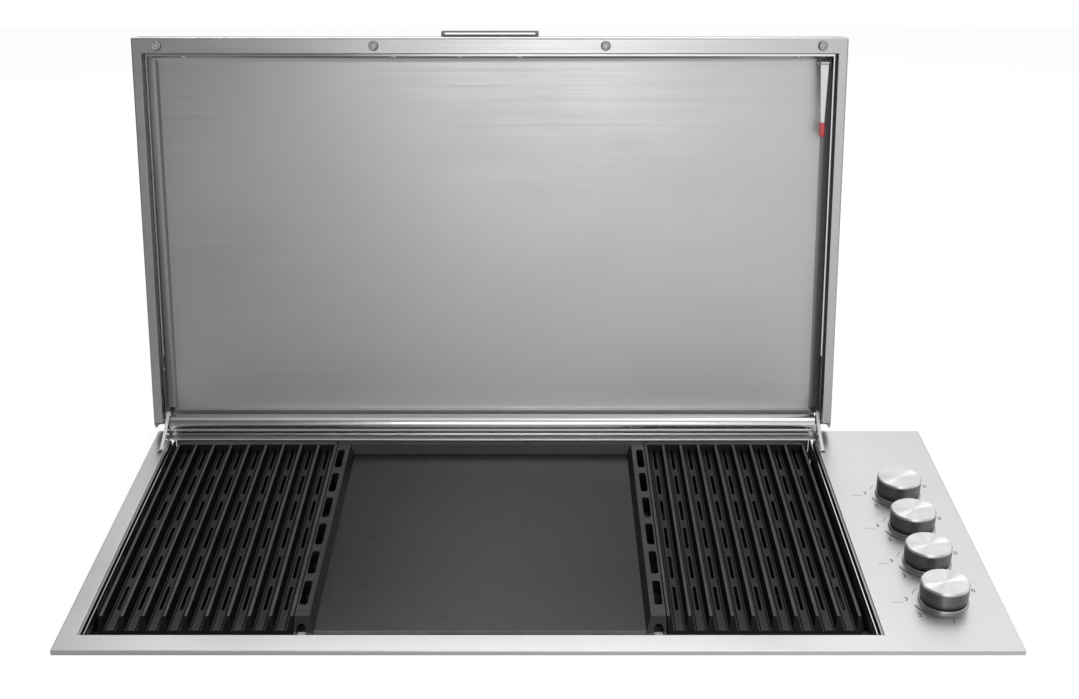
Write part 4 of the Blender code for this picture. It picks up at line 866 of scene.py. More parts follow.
def soften(piece: Piece, width: float, segments: int = 2, angle: float = 30.0,
           smooth: float = 40.0) -> Piece:
    """Round a piece's edges and shade it smooth between sharp ones.

    Args:
        piece: the piece.
        width: the rounding.
        segments: steps of the rounding.
        angle: the sharpest edge left as it is, in degrees.
        smooth: the angle up to which it is shaded smooth.

    Returns:
        The piece.
    """
    apply_modifier(piece, "BEVEL", width=width, segments=segments, limit_method="ANGLE",
                   angle_limit=angle * DEG, harden_normals=False)
    shade(piece, smooth)
    return apply_modifier(piece, "WEIGHTED_NORMAL", weight=80, keep_sharp=True)


def shade(piece: Piece, angle: float = 40.0) -> Piece:
    """Shade smooth up to an angle.

    Args:
        piece: the piece.
        angle: the angle, in degrees.

    Returns:
        The piece.
    """
    take(piece)
    bpy.ops.object.shade_smooth_by_angle(angle=angle * DEG)
    return piece


def outward(piece: Piece, merge: float = 0.005 * MM) -> Piece:
    """Merge doubles and turn every face outwards.

    Args:
        piece: the piece.
        merge: how close doubles lie.

    Returns:
        The piece.
    """
    edit(piece, everything=True)
    bpy.ops.mesh.remove_doubles(threshold=merge)
    bpy.ops.mesh.normals_make_consistent(inside=False)
    return leave(piece)


def draw_line(name: str, points: Sequence[Place]) -> Piece:
    """A chain of edges, drawn by extruding one vertex from place to place.

    Args:
        name: the piece's name.
        points: the places.

    Returns:
        The piece, left in edit mode with its last vertex selected.
    """
    clear_selection()
    bpy.ops.mesh.primitive_plane_add(size=MM, location=points[0])
    piece = bpy.context.object
    bake_place(piece, name)
    edit(piece, Part.VERT)
    mesh = bmesh.from_edit_mesh(piece.data)
    mesh.verts.ensure_lookup_table()
    for vert in mesh.verts[1:]:
        vert.select_set(True)
    bmesh.update_edit_mesh(piece.data)
    bpy.ops.mesh.delete(type="VERT")
    mesh = bmesh.from_edit_mesh(piece.data)
    mesh.verts.ensure_lookup_table()
    mesh.verts[0].co = points[0]
    mesh.verts[0].select_set(True)
    bmesh.update_edit_mesh(piece.data)
    for start, end in zip(points, points[1:]):
        step = tuple(b - a for a, b in zip(start, end))
        bpy.ops.mesh.extrude_region_move(TRANSFORM_OT_translate={"value": step})
    return piece


def lathe(name: str, centre: Point, profile: Sequence[Point], steps: int = 64) -> Piece:
    """A turned form: a profile in (radius, height) spun round an upright axis.

    Args:
        name: the piece's name.
        centre: the axis's place.
        profile: the profile's points.
        steps: how many steps a turn has.

    Returns:
        The piece.
    """
    points = [(centre[0] + max(radius, 0.0), centre[1], height) for radius, height in profile]
    piece = draw_line(name, points)
    bpy.ops.mesh.select_all(action="SELECT")
    bpy.ops.mesh.spin(steps=steps, angle=math.tau, center=(*centre, 0), axis=(0, 0, 1))
    leave(piece)
    return outward(piece)


def turn_map(piece: Piece, centre: Point) -> Piece:
    """Give a turned piece a UV map of its turn and radius, for the finish's rings.

    Args:
        piece: the piece.
        centre: the axis's place.

    Returns:
        The piece.
    """
    layer = piece.data.uv_layers.new(name="turn")
    verts = piece.data.vertices
    for face in piece.data.polygons:
        middle = face.center
        base = math.atan2(middle.y - centre[1], middle.x - centre[0])
        for loop in face.loop_indices:
            place = verts[piece.data.loops[loop].vertex_index].co
            x, y = place.x - centre[0], place.y - centre[1]
            radius = math.hypot(x, y)
            turn = math.atan2(y, x) if radius > 1e-6 else base
            turn = base + (turn - base + math.pi) % math.tau - math.pi
            layer.data[loop].uv = (radius - place.z, turn / math.tau)
    return piece


def rolled_sheet(name: str, path: Sequence[Place], run: Place, thickness: float) -> Piece:
    """Sheet metal folded along a path and run out to its length.

    Args:
        name: the piece's name.
        path: the fold's section.
        run: the way and length it runs.
        thickness: the sheet's thickness.

    Returns:
        The piece.
    """
    piece = draw_line(name, path)
    bpy.ops.mesh.select_all(action="SELECT")
    bpy.ops.mesh.extrude_region_move(TRANSFORM_OT_translate={"value": run})
    leave(piece)
    apply_modifier(piece, "SOLIDIFY", thickness=thickness, offset=0, use_even_offset=True)
    return shade(outward(piece))


def cut_with(piece: Piece, cutter: Piece) -> Piece:
    """Cut a piece with another and remove the other.

    Args:
        piece: the piece.
        cutter: the shape that is taken out of it.

    Returns:
        The piece.
    """
    apply_modifier(piece, "BOOLEAN", operation="DIFFERENCE", object=cutter, solver="EXACT")
    bpy.data.objects.remove(cutter)
    return piece


def cad_copy(node: str, name: str) -> Piece:
    """A node's shape as a piece of its own, with its flat faces whole again.

    Args:
        node: the node.
        name: the piece's name.

    Returns:
        The piece.
    """
    clear_selection()
    piece = bpy.data.objects.new(name, FRAME["nodes"][node].data.copy())
    bpy.context.scene.collection.objects.link(piece)
    edit(piece, everything=True)
    bpy.ops.mesh.remove_doubles(threshold=0.004 * MM)
    bpy.ops.mesh.dissolve_limited(angle_limit=0.6 * DEG)
    bpy.ops.mesh.customdata_custom_splitnormals_clear()
    return leave(piece)


def refined(node: str, body: str, edge: float, segments: int = 2, angle: float = 30.0,
            smooth: float = 40.0) -> Piece:
    """A node's shape with its edges rounded, standing for the node.

    Args:
        node: the node.
        body: the body it rides on.
        edge: the edges' rounding.
        segments: steps of the rounding.
        angle: the sharpest edge left as it is.
        smooth: the angle up to which it is shaded smooth.

    Returns:
        The piece.
    """
    piece = cad_copy(node, node + "_form")
    soften(piece, edge, segments, angle, smooth)
    return mount(piece, body, node)


def mount(piece: Piece, body: str, *nodes: str) -> Piece:
    """Let a piece ride on a body and stand for any nodes that it replaces.

    Args:
        piece: the piece.
        body: the body.
        nodes: the nodes.

    Returns:
        The piece.
    """
    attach(piece, body)
    if nodes:
        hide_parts(*nodes)
    return piece


def joined(name: str, pieces: Sequence[Piece]) -> Piece:
    """Several pieces made one object.

    Args:
        name: the object's name.
        pieces: the pieces, which are used up.

    Returns:
        The object.
    """
    clear_selection()
    for piece in pieces:
        piece.select_set(True)
    bpy.context.view_layer.objects.active = pieces[0]
    bpy.ops.object.join()
    pieces[0].name = pieces[0].data.name = name
    return pieces[0]


def copied(piece: Piece, name: str, turn: Matrix) -> Piece:
    """A copy of a piece with its own mesh, put in its place.

    Args:
        piece: the piece.
        name: the copy's name.
        turn: how the copy is turned and moved.

    Returns:
        The copy.
    """
    fresh = bpy.data.objects.new(name, piece.data.copy())
    bpy.context.scene.collection.objects.link(fresh)
    fresh.data.name = name
    fresh.data.transform(turn)
    return fresh


def repeated(piece: Piece, name: str, turns: Sequence[Matrix]) -> Piece:
    """A piece modelled once, copied to several places and made one object.

    Args:
        piece: the piece, which is used up.
        name: the object's name.
        turns: how each copy is turned and moved.

    Returns:
        The object.
    """
    copies = [copied(piece, name, turn) for turn in turns]
    bpy.data.objects.remove(piece)
    return joined(name, copies)


def turned_head(profile: Profile, steps: int) -> Piece:
    """A rivet's or screw's head, turned at the origin from a profile in millimetres."""
    return lathe("head", (0, 0), [(radius * MM, height * MM) for radius, height in profile], steps)


def arc(centre: Point, radius: float, start: float, end: float, steps: int) -> list[Point]:
    """Points along an arc between two turns in degrees.

    Args:
        centre: the arc's centre.
        radius: its radius.
        start: where it starts.
        end: where it ends.
        steps: how many steps it has.

    Returns:
        The points.
    """
    turns = [(start + (end - start) * step / steps) * DEG for step in range(steps + 1)]
    return [(centre[0] + radius * math.cos(turn), centre[1] + radius * math.sin(turn))
            for turn in turns]


def opened(point: Place) -> Place:
    """Where a point of the shut lid is as the lid stands open."""
    turn = Matrix.Rotation(-OPEN_ANGLE, 3, "X")
    return tuple(PIVOT + turn @ (Vector(point) - PIVOT))


def shut(point: Vector) -> Vector:
    """Where a point of the open lid is as the lid is shut."""
    return PIVOT + Matrix.Rotation(OPEN_ANGLE, 3, "X") @ (Vector(point) - PIVOT)


# ---------------------------------------------------------------- studio


@dataclass(frozen=True)
class SoftBox:
    """One soft lamp."""

    name: str
    place: Place
    size: Point
    power: float
    target: Place = (0.0, 0.25, 0.1)


@dataclass
class Studio:
    """Camera, pale worktop and soft light."""

    eye: Place = (0.0014, -1.3108, 0.9524)
    pitch: float = 24.62
    lens: float = 50.0
    top_z: float = -0.4 * MM
    hole: tuple[Point, Point] = ((-0.506, 0.003), (0.506, 0.482))
    ambient: float = 0.55
    boxes: tuple[SoftBox, ...] = (
        SoftBox("front", (0.0, -2.6, 1.6), (1.0, 0.8), 10, (0.0, 0.5, 0.3)),
        SoftBox("back", (-0.16, 1.7, 1.65), (1.6, 0.45), 7.4, (-0.12, 0.0, 0.0)),
        SoftBox("side", (1.9, 0.9, 1.15), (1.9, 1.7), 4, (0.45, 0.2, 0.0)),
        SoftBox("top", (0.7, -0.2, 2.2), (1.2, 1.2), 3.5))

    def build(self) -> None:
        """Place the camera, the worktop, the world and the lamps."""
        self.place_camera()
        self.lay_worktop()
        self.light_world()
        self.place_lamps()

    def place_camera(self) -> None:
        """Stand the camera where the photograph was taken."""
        data = bpy.data.cameras.new("camera")
        data.lens, data.sensor_width = self.lens, 36.0
        data.clip_start, data.clip_end = 0.01, 50.0
        camera = bpy.data.objects.new("camera", data)
        camera.location = self.eye
        camera.rotation_euler = ((90 - self.pitch) * DEG, 0, 0)
        bpy.context.scene.collection.objects.link(camera)
        bpy.context.scene.camera = camera

    def lay_worktop(self) -> None:
        """Lay a white worktop with the opening that the grill hangs in."""
        slab = add_cube("worktop", (-3, -3, self.top_z - 1 * MM), (3, 3, self.top_z))
        (x0, y0), (x1, y1) = self.hole
        hole = add_cube("worktop_hole", (x0, y0, -0.1), (x1, y1, 0.1))
        cut_with(slab, hole)
        slab.data.materials.append(self.worktop_finish())

    @staticmethod
    def worktop_finish() -> bpy.types.Material:
        """White for the eye, with the grill's shadow kept, and paler grey in the metal.

        Returns:
            The material.
        """
        bench = FinishBench("worktop_white")
        grain = bench.noise(bench.mapped((300, 300, 300)), 2, 0.5)
        bench.set(Roughness=0.9)
        colour = bench.tint(grain, (0.0, (0.79, 0.79, 0.79)), (1.0, (0.81, 0.81, 0.81)))
        bench.join(colour, bench.shader.inputs["Base Color"])
        path = bench.add("ShaderNodeLightPath")
        mirrored = bench.calc("ADD", path.outputs["Is Glossy Ray"],
                              path.outputs["Is Transmission Ray"], clamp=True)
        seen = bench.calc("ADD", path.outputs["Is Camera Ray"], mirrored, clamp=True)
        glow = bench.add("ShaderNodeEmission")
        reach = bench.spread(bench.coordinate(Axis.X), -0.6, 0.9, 0.03, 0.30)
        bench.join(bench.either(mirrored, 0.72, reach), glow.inputs["Strength"])
        soft = bench.add("ShaderNodeBsdfDiffuse")
        soft.inputs["Color"].default_value = (0.44, 0.44, 0.44, 1)
        both = bench.add("ShaderNodeAddShader")
        bench.join(glow.outputs[0], both.inputs[0])
        bench.join(soft.outputs[0], both.inputs[1])
        mix = bench.add("ShaderNodeMixShader")
        bench.join(seen, mix.inputs[0])
        bench.join(bench.shader.outputs[0], mix.inputs[1])
        bench.join(both.outputs[0], mix.inputs[2])
        bench.join(mix.outputs[0], bench.tree.nodes["Material Output"].inputs["Surface"])
        return bench.material

    def light_world(self) -> None:
        """White for the eye; for metal a dark left, a soft fall behind and a bright ceiling."""
        world = bpy.data.worlds.new("studio_world")
        bpy.context.scene.world = world
        world.use_nodes = True
        world.node_tree.nodes.clear()
        bench = NodeBench(world.node_tree)
        way = bench.add("ShaderNodeSeparateXYZ")
        bench.join(bench.add("ShaderNodeTexCoord").outputs["Generated"], way.inputs[0])
        x, y, z = (way.outputs[axis.name] for axis in Axis)
        wall = bench.calc("MULTIPLY", bench.spread(x, -0.16, -0.01, 0.2, 1.0),
                          bench.spread(x, 0.05, 0.3, 1.0, 0.88))
        crown = bench.calc("MULTIPLY", bench.spread(z, 0.3, 0.5, 0.97, 0.6),
                           bench.spread(z, -0.25, 0.1, 0.3, 1.0))
        front = bench.calc("MULTIPLY", wall, crown)
        sweep = bench.calc("MULTIPLY", bench.spread(x, -0.32, -0.1, 0.34, 0.95),
                           bench.spread(x, 0.1, 0.4, 1.0, 0.9))
        behind = bench.calc("MULTIPLY", sweep, bench.spread(z, -0.1, 0.66, 0.2, 1.08))
        level = bench.either(bench.spread(y, 0.1, 0.5, 0.0, 1.0), front, behind)
        ceiling = bench.spread(x, -0.3, 0.0, 0.3, 0.95)
        around = bench.either(bench.spread(z, 0.84, 0.96, 0.0, 1.0), level, ceiling)
        mirrored = bench.calc("MULTIPLY", around, bench.spread(x, 0.36, 0.7, 1.0, 0.7))
        path = bench.add("ShaderNodeLightPath")
        unlit = bench.either(path.outputs["Is Glossy Ray"], self.ambient, mirrored)
        shown = bench.calc("ADD", path.outputs["Is Camera Ray"],
                           path.outputs["Is Transmission Ray"], clamp=True)
        sky = bench.add("ShaderNodeBackground")
        sky.inputs["Color"].default_value = (1, 1, 1, 1)
        bench.join(bench.either(shown, unlit, 1.0), sky.inputs["Strength"])
        bench.join(sky.outputs[0], bench.add("ShaderNodeOutputWorld").inputs[0])

    def place_lamps(self) -> None:
        """Hang the soft boxes."""
        for box in self.boxes:
            data = bpy.data.lights.new(box.name, "AREA")
            data.shape, data.energy = "RECTANGLE", box.power
            data.size, data.size_y = box.size
            lamp = bpy.data.objects.new(box.name, data)
            lamp.location = box.place
            aim = Vector(box.target) - Vector(box.place)
            lamp.rotation_euler = aim.to_track_quat("-Z", "Y").to_euler()
            bpy.context.scene.collection.objects.link(lamp)


# ---------------------------------------------------------------- the fascia and firebox


@dataclass
class FasciaPlate:
    """The brushed plate with its rolled edge, and the plain marks round its knobs."""

    low: Point = (-515 * MM, -7 * MM)
    high: Point = (515 * MM, 491 * MM)
    top: float = 5.5 * MM
    sheet: float = 1.2 * MM
    hem: float = 14 * MM
    roll: float = 1.3 * MM
    opening: tuple[Point, Point] = ((-494.6 * MM, 21.9 * MM), (371 * MM, 466.5 * MM))
    opening_round: float = 0.9 * MM
    knob_x: float = 450 * MM
    knob_y: tuple[float, ...] = (87 * MM, 165 * MM, 243 * MM, 321 * MM)
    stem_hole: float = 4.6 * MM
    film: float = 0.06 * MM
    lift: float = 0.05 * MM
    # Each arc's start and end in degrees, its radius, and its width at either end.
    arcs: tuple[tuple[float, ...], ...] = (
        (196, 268, 35.2 * MM, 1.6 * MM, 0.35 * MM), (140, 160, 34.0 * MM, 0.6 * MM, 0.6 * MM))
    # Each figure with its turn in degrees and its distance from the knob's axis.
    figures: tuple[tuple[str, float, float], ...] = (
        ("0", 26, 42.5 * MM), ("3", 177, 40.5 * MM), ("2", 222, 43.5 * MM),
        ("1", 272, 41.5 * MM))
    figure_size: float = 9.5 * MM

    def build(self, finishes: Finishes) -> None:
        """Model the plate and print its marks.

        Args:
            finishes: the finishes.
        """
        plate = self.fold_plate()
        self.cut_openings(plate)
        soften(plate, 0.25 * MM, 2, 50)
        mount(finishes.dress(plate, Finish.FASCIA_STEEL), "grill_body", "fascia_plate")
        marks = finishes.dress(self.print_marks(self.knob_y[0]), Finish.PANEL_INK)
        for number, y in enumerate(self.knob_y, 1):
            shift = Matrix.Translation((0, y - self.knob_y[0], 0))
            mount(copied(marks, f"panel_marks_{number}", shift), "grill_body")
        bpy.data.objects.remove(marks)

    def fold_plate(self) -> Piece:
        """Fold the plate: a rolled edge, turned down and hemmed in all round.

        Returns:
            The plate.
        """
        plate = add_cube("fascia_panel", (*self.low, 0), (*self.high, self.top))
        edit(plate)
        pick(plate, Part.FACE, lambda face: face.normal.z < -0.5)
        bpy.ops.mesh.delete(type="FACE")
        pick(plate, Part.EDGE, lambda edge: not edge.is_boundary)
        bpy.ops.mesh.bevel(offset=self.roll, segments=4, affect="EDGES", clamp_overlap=True)
        pick(plate, Part.EDGE, lambda edge: edge.is_boundary)
        bpy.ops.mesh.extrude_edges_move(TRANSFORM_OT_translate={"value": (0, 0, 0)})
        size = Vector(self.high) - Vector(self.low)
        shrink = (1 - 2 * self.hem / size.x, 1 - 2 * self.hem / size.y, 1)
        middle = (Vector(self.high) + Vector(self.low)) / 2
        bpy.ops.transform.resize(value=shrink, center_override=(*middle, 0))
        outward(leave(plate))
        return apply_modifier(plate, "SOLIDIFY", thickness=self.sheet, offset=-1,
                              use_even_offset=True)

    def cut_openings(self, plate: Piece) -> None:
        """Cut the big opening and the stems' holes, and round the opening's upper edge.

        Args:
            plate: the plate.
        """
        (x0, y0), (x1, y1) = self.opening
        under = self.top - 2.2 * self.sheet
        cut_with(plate, add_cube("opening", (x0, y0, under), (x1, y1, self.top + MM)))
        for y in self.knob_y:
            cut_with(plate, add_disc("stem_hole", (self.knob_x, y, self.top), self.stem_hole,
                                     4 * MM, 32))
        edit(plate, Part.EDGE)
        pick(plate, Part.EDGE, self.bounds_opening)
        bpy.ops.mesh.bevel(offset=self.opening_round, segments=3, affect="EDGES",
                           clamp_overlap=True)
        leave(plate)

    def bounds_opening(self, edge: bmesh.types.BMEdge) -> bool:
        """Whether an edge is an upper one of the big opening.

        Args:
            edge: the edge.

        Returns:
            Whether it is.
        """
        (x0, y0), (x1, y1) = self.opening
        near = 0.1 * MM
        return all(abs(vert.co.z - self.top) < near and x0 - near < vert.co.x < x1 + near
                   and y0 - near < vert.co.y < y1 + near for vert in edge.verts) and (
            edge.calc_face_angle(0.0) > 0.5)

    def print_marks(self, y: float) -> Piece:
        """Print one knob's marks: arcs, a tick, a dot and figures.

        Args:
            y: the knob's place.

        Returns:
            The marks as one piece.
        """
        marks = [self.wedge(y, *arc_sizes) for arc_sizes in self.arcs]
        marks += [self.tick(y, 184, 45.5 * MM, 57 * MM), self.dot(y, 28, 36 * MM, 0.9 * MM)]
        marks += [self.figure(text, y, angle, radius) for text, angle, radius in self.figures]
        return joined("panel_marks", marks)

    def spot(self, y: float, angle: float, radius: float) -> Point:
        """A place round a knob, by its turn and radius."""
        return (self.knob_x + radius * math.cos(angle * DEG), y + radius * math.sin(angle * DEG))

    def thicken(self, piece: Piece) -> Piece:
        """Give a flat mark a film's thickness."""
        return apply_modifier(piece, "SOLIDIFY", thickness=self.film, offset=0)

    def wedge(self, y: float, start: float, end: float, radius: float, wide: float,
              narrow: float) -> Piece:
        """An arc that changes its width from start to end.

        Args:
            y: the knob's place.
            start: where the arc starts, in degrees.
            end: where it ends.
            radius: its radius.
            wide: its width at the start.
            narrow: its width at the end.

        Returns:
            The mark.
        """
        z, steps = self.top + self.lift, 20
        inner, outer = [], []
        for step in range(steps + 1):
            turn = start + (end - start) * step / steps
            width = wide + (narrow - wide) * step / steps
            inner.append((*self.spot(y, turn, radius - width / 2), z))
            outer.append((*self.spot(y, turn, radius + width / 2), z))
        piece = draw_line("mark", inner + outer[::-1])
        bpy.ops.mesh.select_all(action="SELECT")
        bpy.ops.mesh.edge_face_add()
        return self.thicken(leave(piece))

    def tick(self, y: float, angle: float, start: float, end: float) -> Piece:
        """A short level line beside a figure.

        Args:
            y: the knob's place.
            angle: the line's turn round the knob, in degrees.
            start: how far from the knob's axis it starts.
            end: how far from it the line ends.

        Returns:
            The mark.
        """
        near, far = self.spot(y, angle, start), self.spot(y, angle, end)
        z, half = self.top + self.lift, 0.25 * MM
        x0, x1 = sorted((near[0], far[0]))
        piece = add_cube("mark", (x0, far[1] - half, z - self.film / 2),
                         (x1, far[1] + half, z + self.film / 2))
        return soften(piece, 0.02 * MM, 1)

    def dot(self, y: float, angle: float, radius: float, size: float) -> Piece:
        """A round mark."""
        place = (*self.spot(y, angle, radius), self.top + self.lift)
        return add_disc("mark", place, size, self.film, 20)

    def figure(self, text: str, y: float, angle: float, radius: float) -> Piece:
        """A plain figure, made a mesh.

        Args:
            text: the figure.
            y: the knob's place.
            angle: the figure's turn round the knob, in degrees.
            radius: how far from the knob's axis it stands.

        Returns:
            The mark.
        """
        clear_selection()
        place = (*self.spot(y, angle, radius), self.top + self.lift)
        bpy.ops.object.text_add(location=place)
        piece = bpy.context.object
        piece.data.body, piece.data.size = text, self.figure_size
        piece.data.align_x, piece.data.align_y = "CENTER", "CENTER"
        piece.data.resolution_u = 4
        bpy.ops.object.convert(target="MESH")
        return self.thicken(bake_place(bpy.context.object, "mark"))


@dataclass
class Firebox:
    """The folded walls with their bright beads, and the seam beside the side ones painted black as
    its shade.
    """

    ends: tuple[str, ...] = ("firebox_front", "firebox_rear")
    # Each side wall's node, where it stands, and which way is outwards.
    sides: tuple[tuple[str, float, int], ...] = (("firebox_left", -486.7 * MM, -1),
                                                 ("firebox_right", 363.1 * MM, 1))
    bead: float = 0.56
    bead_reach: Point = (0.7 * MM, 4.2 * MM)
    bead_foot: float = 2.3 * MM
    bright_from: float = 2.0 * MM
    seam: Point = (1.4 * MM, 5.3 * MM)
    seam_top: float = 4.25 * MM
    seam_depth: float = 6 * MM
    shade_fill_z: Point = (-4 * MM, 3.9 * MM)

    def build(self, finishes: Finishes) -> None:
        """Round the walls' folds and dress them.

        Args:
            finishes: the finishes.
        """
        for node in self.ends:
            wall = refined(node, "grill_body", 0.35 * MM, 2, 25, 50)
            self.dress_wall(wall, finishes)
        for node, line, side in self.sides:
            wall = cad_copy(node, node + "_form")
            self.press_seam(wall, line, side)
            soften(wall, 0.3 * MM, 2, 25, 50)
            self.dress_wall(mount(wall, "grill_body", node), finishes)
            self.dress_seam(wall, line, side, finishes)

    def dress_wall(self, wall: Piece, finishes: Finishes) -> None:
        """Dress a wall, brighter where it shows at the cut-out."""
        finishes.dress(wall, Finish.SOOTED_ZINC)
        finishes.paint(wall, Finish.POLISHED_STEEL, lambda face: face.center.z > self.bright_from)

    def press_seam(self, wall: Piece, line: float, side: int) -> None:
        """Draw a side wall's bead in and press the dark seam beside it.

        Args:
            wall: the wall.
            line: where the wall stands.
            side: which way is outwards.
        """
        near, far = self.seam
        inner, outer = self.bead_reach
        edit(wall, Part.VERT)
        pick(wall, Part.VERT, lambda vert: inner < side * (vert.co.x - line) < outer
             and vert.co.z > self.bead_foot)
        bpy.ops.transform.resize(value=(self.bead, 1, 1), center_override=(line, 0, 0))
        for reach in (far - 0.1 * MM, far + 0.1 * MM):
            bpy.ops.mesh.select_all(action="SELECT")
            bpy.ops.mesh.bisect(plane_co=(line + side * reach, 0, 0), plane_no=(1, 0, 0))
        pick(wall, Part.VERT, lambda vert: near < side * (vert.co.x - line) < far
             and self.bead_foot < vert.co.z < self.seam_top)
        bpy.ops.transform.translate(value=(0, 0, -self.seam_depth))
        leave(wall)

    def dress_seam(self, wall: Piece, line: float, side: int, finishes: Finishes) -> None:
        """Paint the seam black as painted shade, and give the step beside it a duller steel.

        Args:
            wall: the wall.
            line: where the wall stands.
            side: which way is outwards.
            finishes: the finishes.
        """
        near, far = self.seam
        low, high = self.shade_fill_z

        def in_painted_shade(face: bpy.types.MeshPolygon) -> bool:
            """Whether a face is in the seam."""
            return (near < side * (face.center.x - line) < far + 0.1 * MM
                    and low < face.center.z < high)

        # Painted shade: the seam's faces are painted black.
        finishes.paint(wall, Finish.BLACK_PLASTIC, in_painted_shade)
        finishes.paint(wall, Finish.STEP_STEEL,
                       lambda face: side * (face.center.x - line) > far and not in_painted_shade(face))


@dataclass
class CastPieces:
    """The two slotted grills and the griddle plate."""

    edge: float = 0.45 * MM
    band_top: Point = (-7.0 * MM, -5.6 * MM)
    band_rise: Point = (0.2, 0.98)
    band_lean: float = 0.15
    front_round: float = 2.4 * MM
    front_edge: Point = (45.95 * MM, -8.0 * MM)
    front_band: float = 3.1 * MM
    front_area: float = 1000 * MM * MM
    front_run: float = 60 * MM
    arches: Point = (-258.6 * MM, 131.7 * MM)
    arch: float = 5.3 * MM
    arch_y: float = 51 * MM
    arch_z: float = -6.7 * MM
    arch_run: float = 24 * MM
    arch_foot: float = -20 * MM
    rest_half: float = 4.6 * MM
    rest_y: Point = (30 * MM, 52 * MM)
    rest_z: Point = (-12.65 * MM, -12.2 * MM)

    def build(self, finishes: Finishes) -> None:
        """Round the castings' edges, dress them and give the bands' edge faces a painted
        highlight.

        Args:
            finishes: the finishes.
        """
        low, high = self.band_top
        flat, steep = self.band_rise
        for node, body in (("grill_left", "left_grill"), ("grill_right", "right_grill")):
            grill = refined(node, body, self.edge, 2, 20, 35)
            finishes.dress(grill, Finish.CAST_ENAMEL)
            finishes.paint(grill, Finish.CAST_EDGE, lambda face: low < face.center.z < high
                           and flat < face.normal.z < steep
                           and abs(face.normal.x) > self.band_lean)
        self.griddle(finishes)

    def griddle(self, finishes: Finishes) -> None:
        """Round the griddle's front edge over and open the arches in its flanks' ends.

        Args:
            finishes: the finishes.
        """
        plate = cad_copy("griddle_plate", "griddle_plate_form")
        y0, y1 = self.arch_y - self.arch_run / 2, self.arch_y + self.arch_run / 2
        for x in self.arches:
            cut_with(plate, add_disc("tunnel", (x, self.arch_y, self.arch_z), self.arch,
                                     self.arch_run, 24, Axis.Y))
            cut_with(plate, add_cube("tunnel", (x - self.arch, y0, self.arch_foot),
                                     (x + self.arch, y1, self.arch_z)))
        self.round_front(plate)
        soften(plate, 0.6 * MM, 2, 20, 35)
        mount(finishes.dress(plate, Finish.GRIDDLE_ENAMEL), "griddle", "griddle_plate")
        y, z = self.front_edge
        # Painted highlight on the griddle's rounded front band.
        finishes.paint(plate, Finish.CAST_EDGE,
                       lambda face: face.center.y < y + self.front_round + MM
                       and z - self.front_band < face.center.z < z + 0.1 * MM
                       and face.normal.y < -0.1 and face.normal.z > 0.2)
        # The griddle's rests are painted near white as a painted highlight.
        rest = soften(add_cube("rest", (-self.rest_half, self.rest_y[0], self.rest_z[0]),
                               (self.rest_half, self.rest_y[1], self.rest_z[1])), 0.15 * MM, 2)
        rests = repeated(rest, "griddle_rests",
                         [Matrix.Translation((x, 0, 0)) for x in self.arches])
        mount(finishes.dress(rests, Finish.BRIGHT_EDGE), "grill_body")

    def round_front(self, plate: Piece) -> None:
        """Cut the griddle's front slope at the level of its lip and round that edge.

        Args:
            plate: the griddle.
        """
        y, z = self.front_edge
        near = 0.15 * MM
        edit(plate)
        pick(plate, Part.FACE, lambda face: face.normal.y < -0.6 and face.normal.z > 0.6
             and face.calc_area() > self.front_area)
        bpy.ops.mesh.bisect(plane_co=(0, 0, z), plane_no=(0, 0, 1))
        leave(plate)
        edit(plate, Part.EDGE)
        pick(plate, Part.EDGE, lambda edge: all(
            abs(vert.co.y - y) < near and abs(vert.co.z - z) < near
            for vert in edge.verts) and edge.calc_length() > self.front_run)
        bpy.ops.mesh.bevel(offset=self.front_round, segments=4, affect="EDGES",
                           clamp_overlap=False)
        leave(plate)


# ---------------------------------------------------------------- knobs


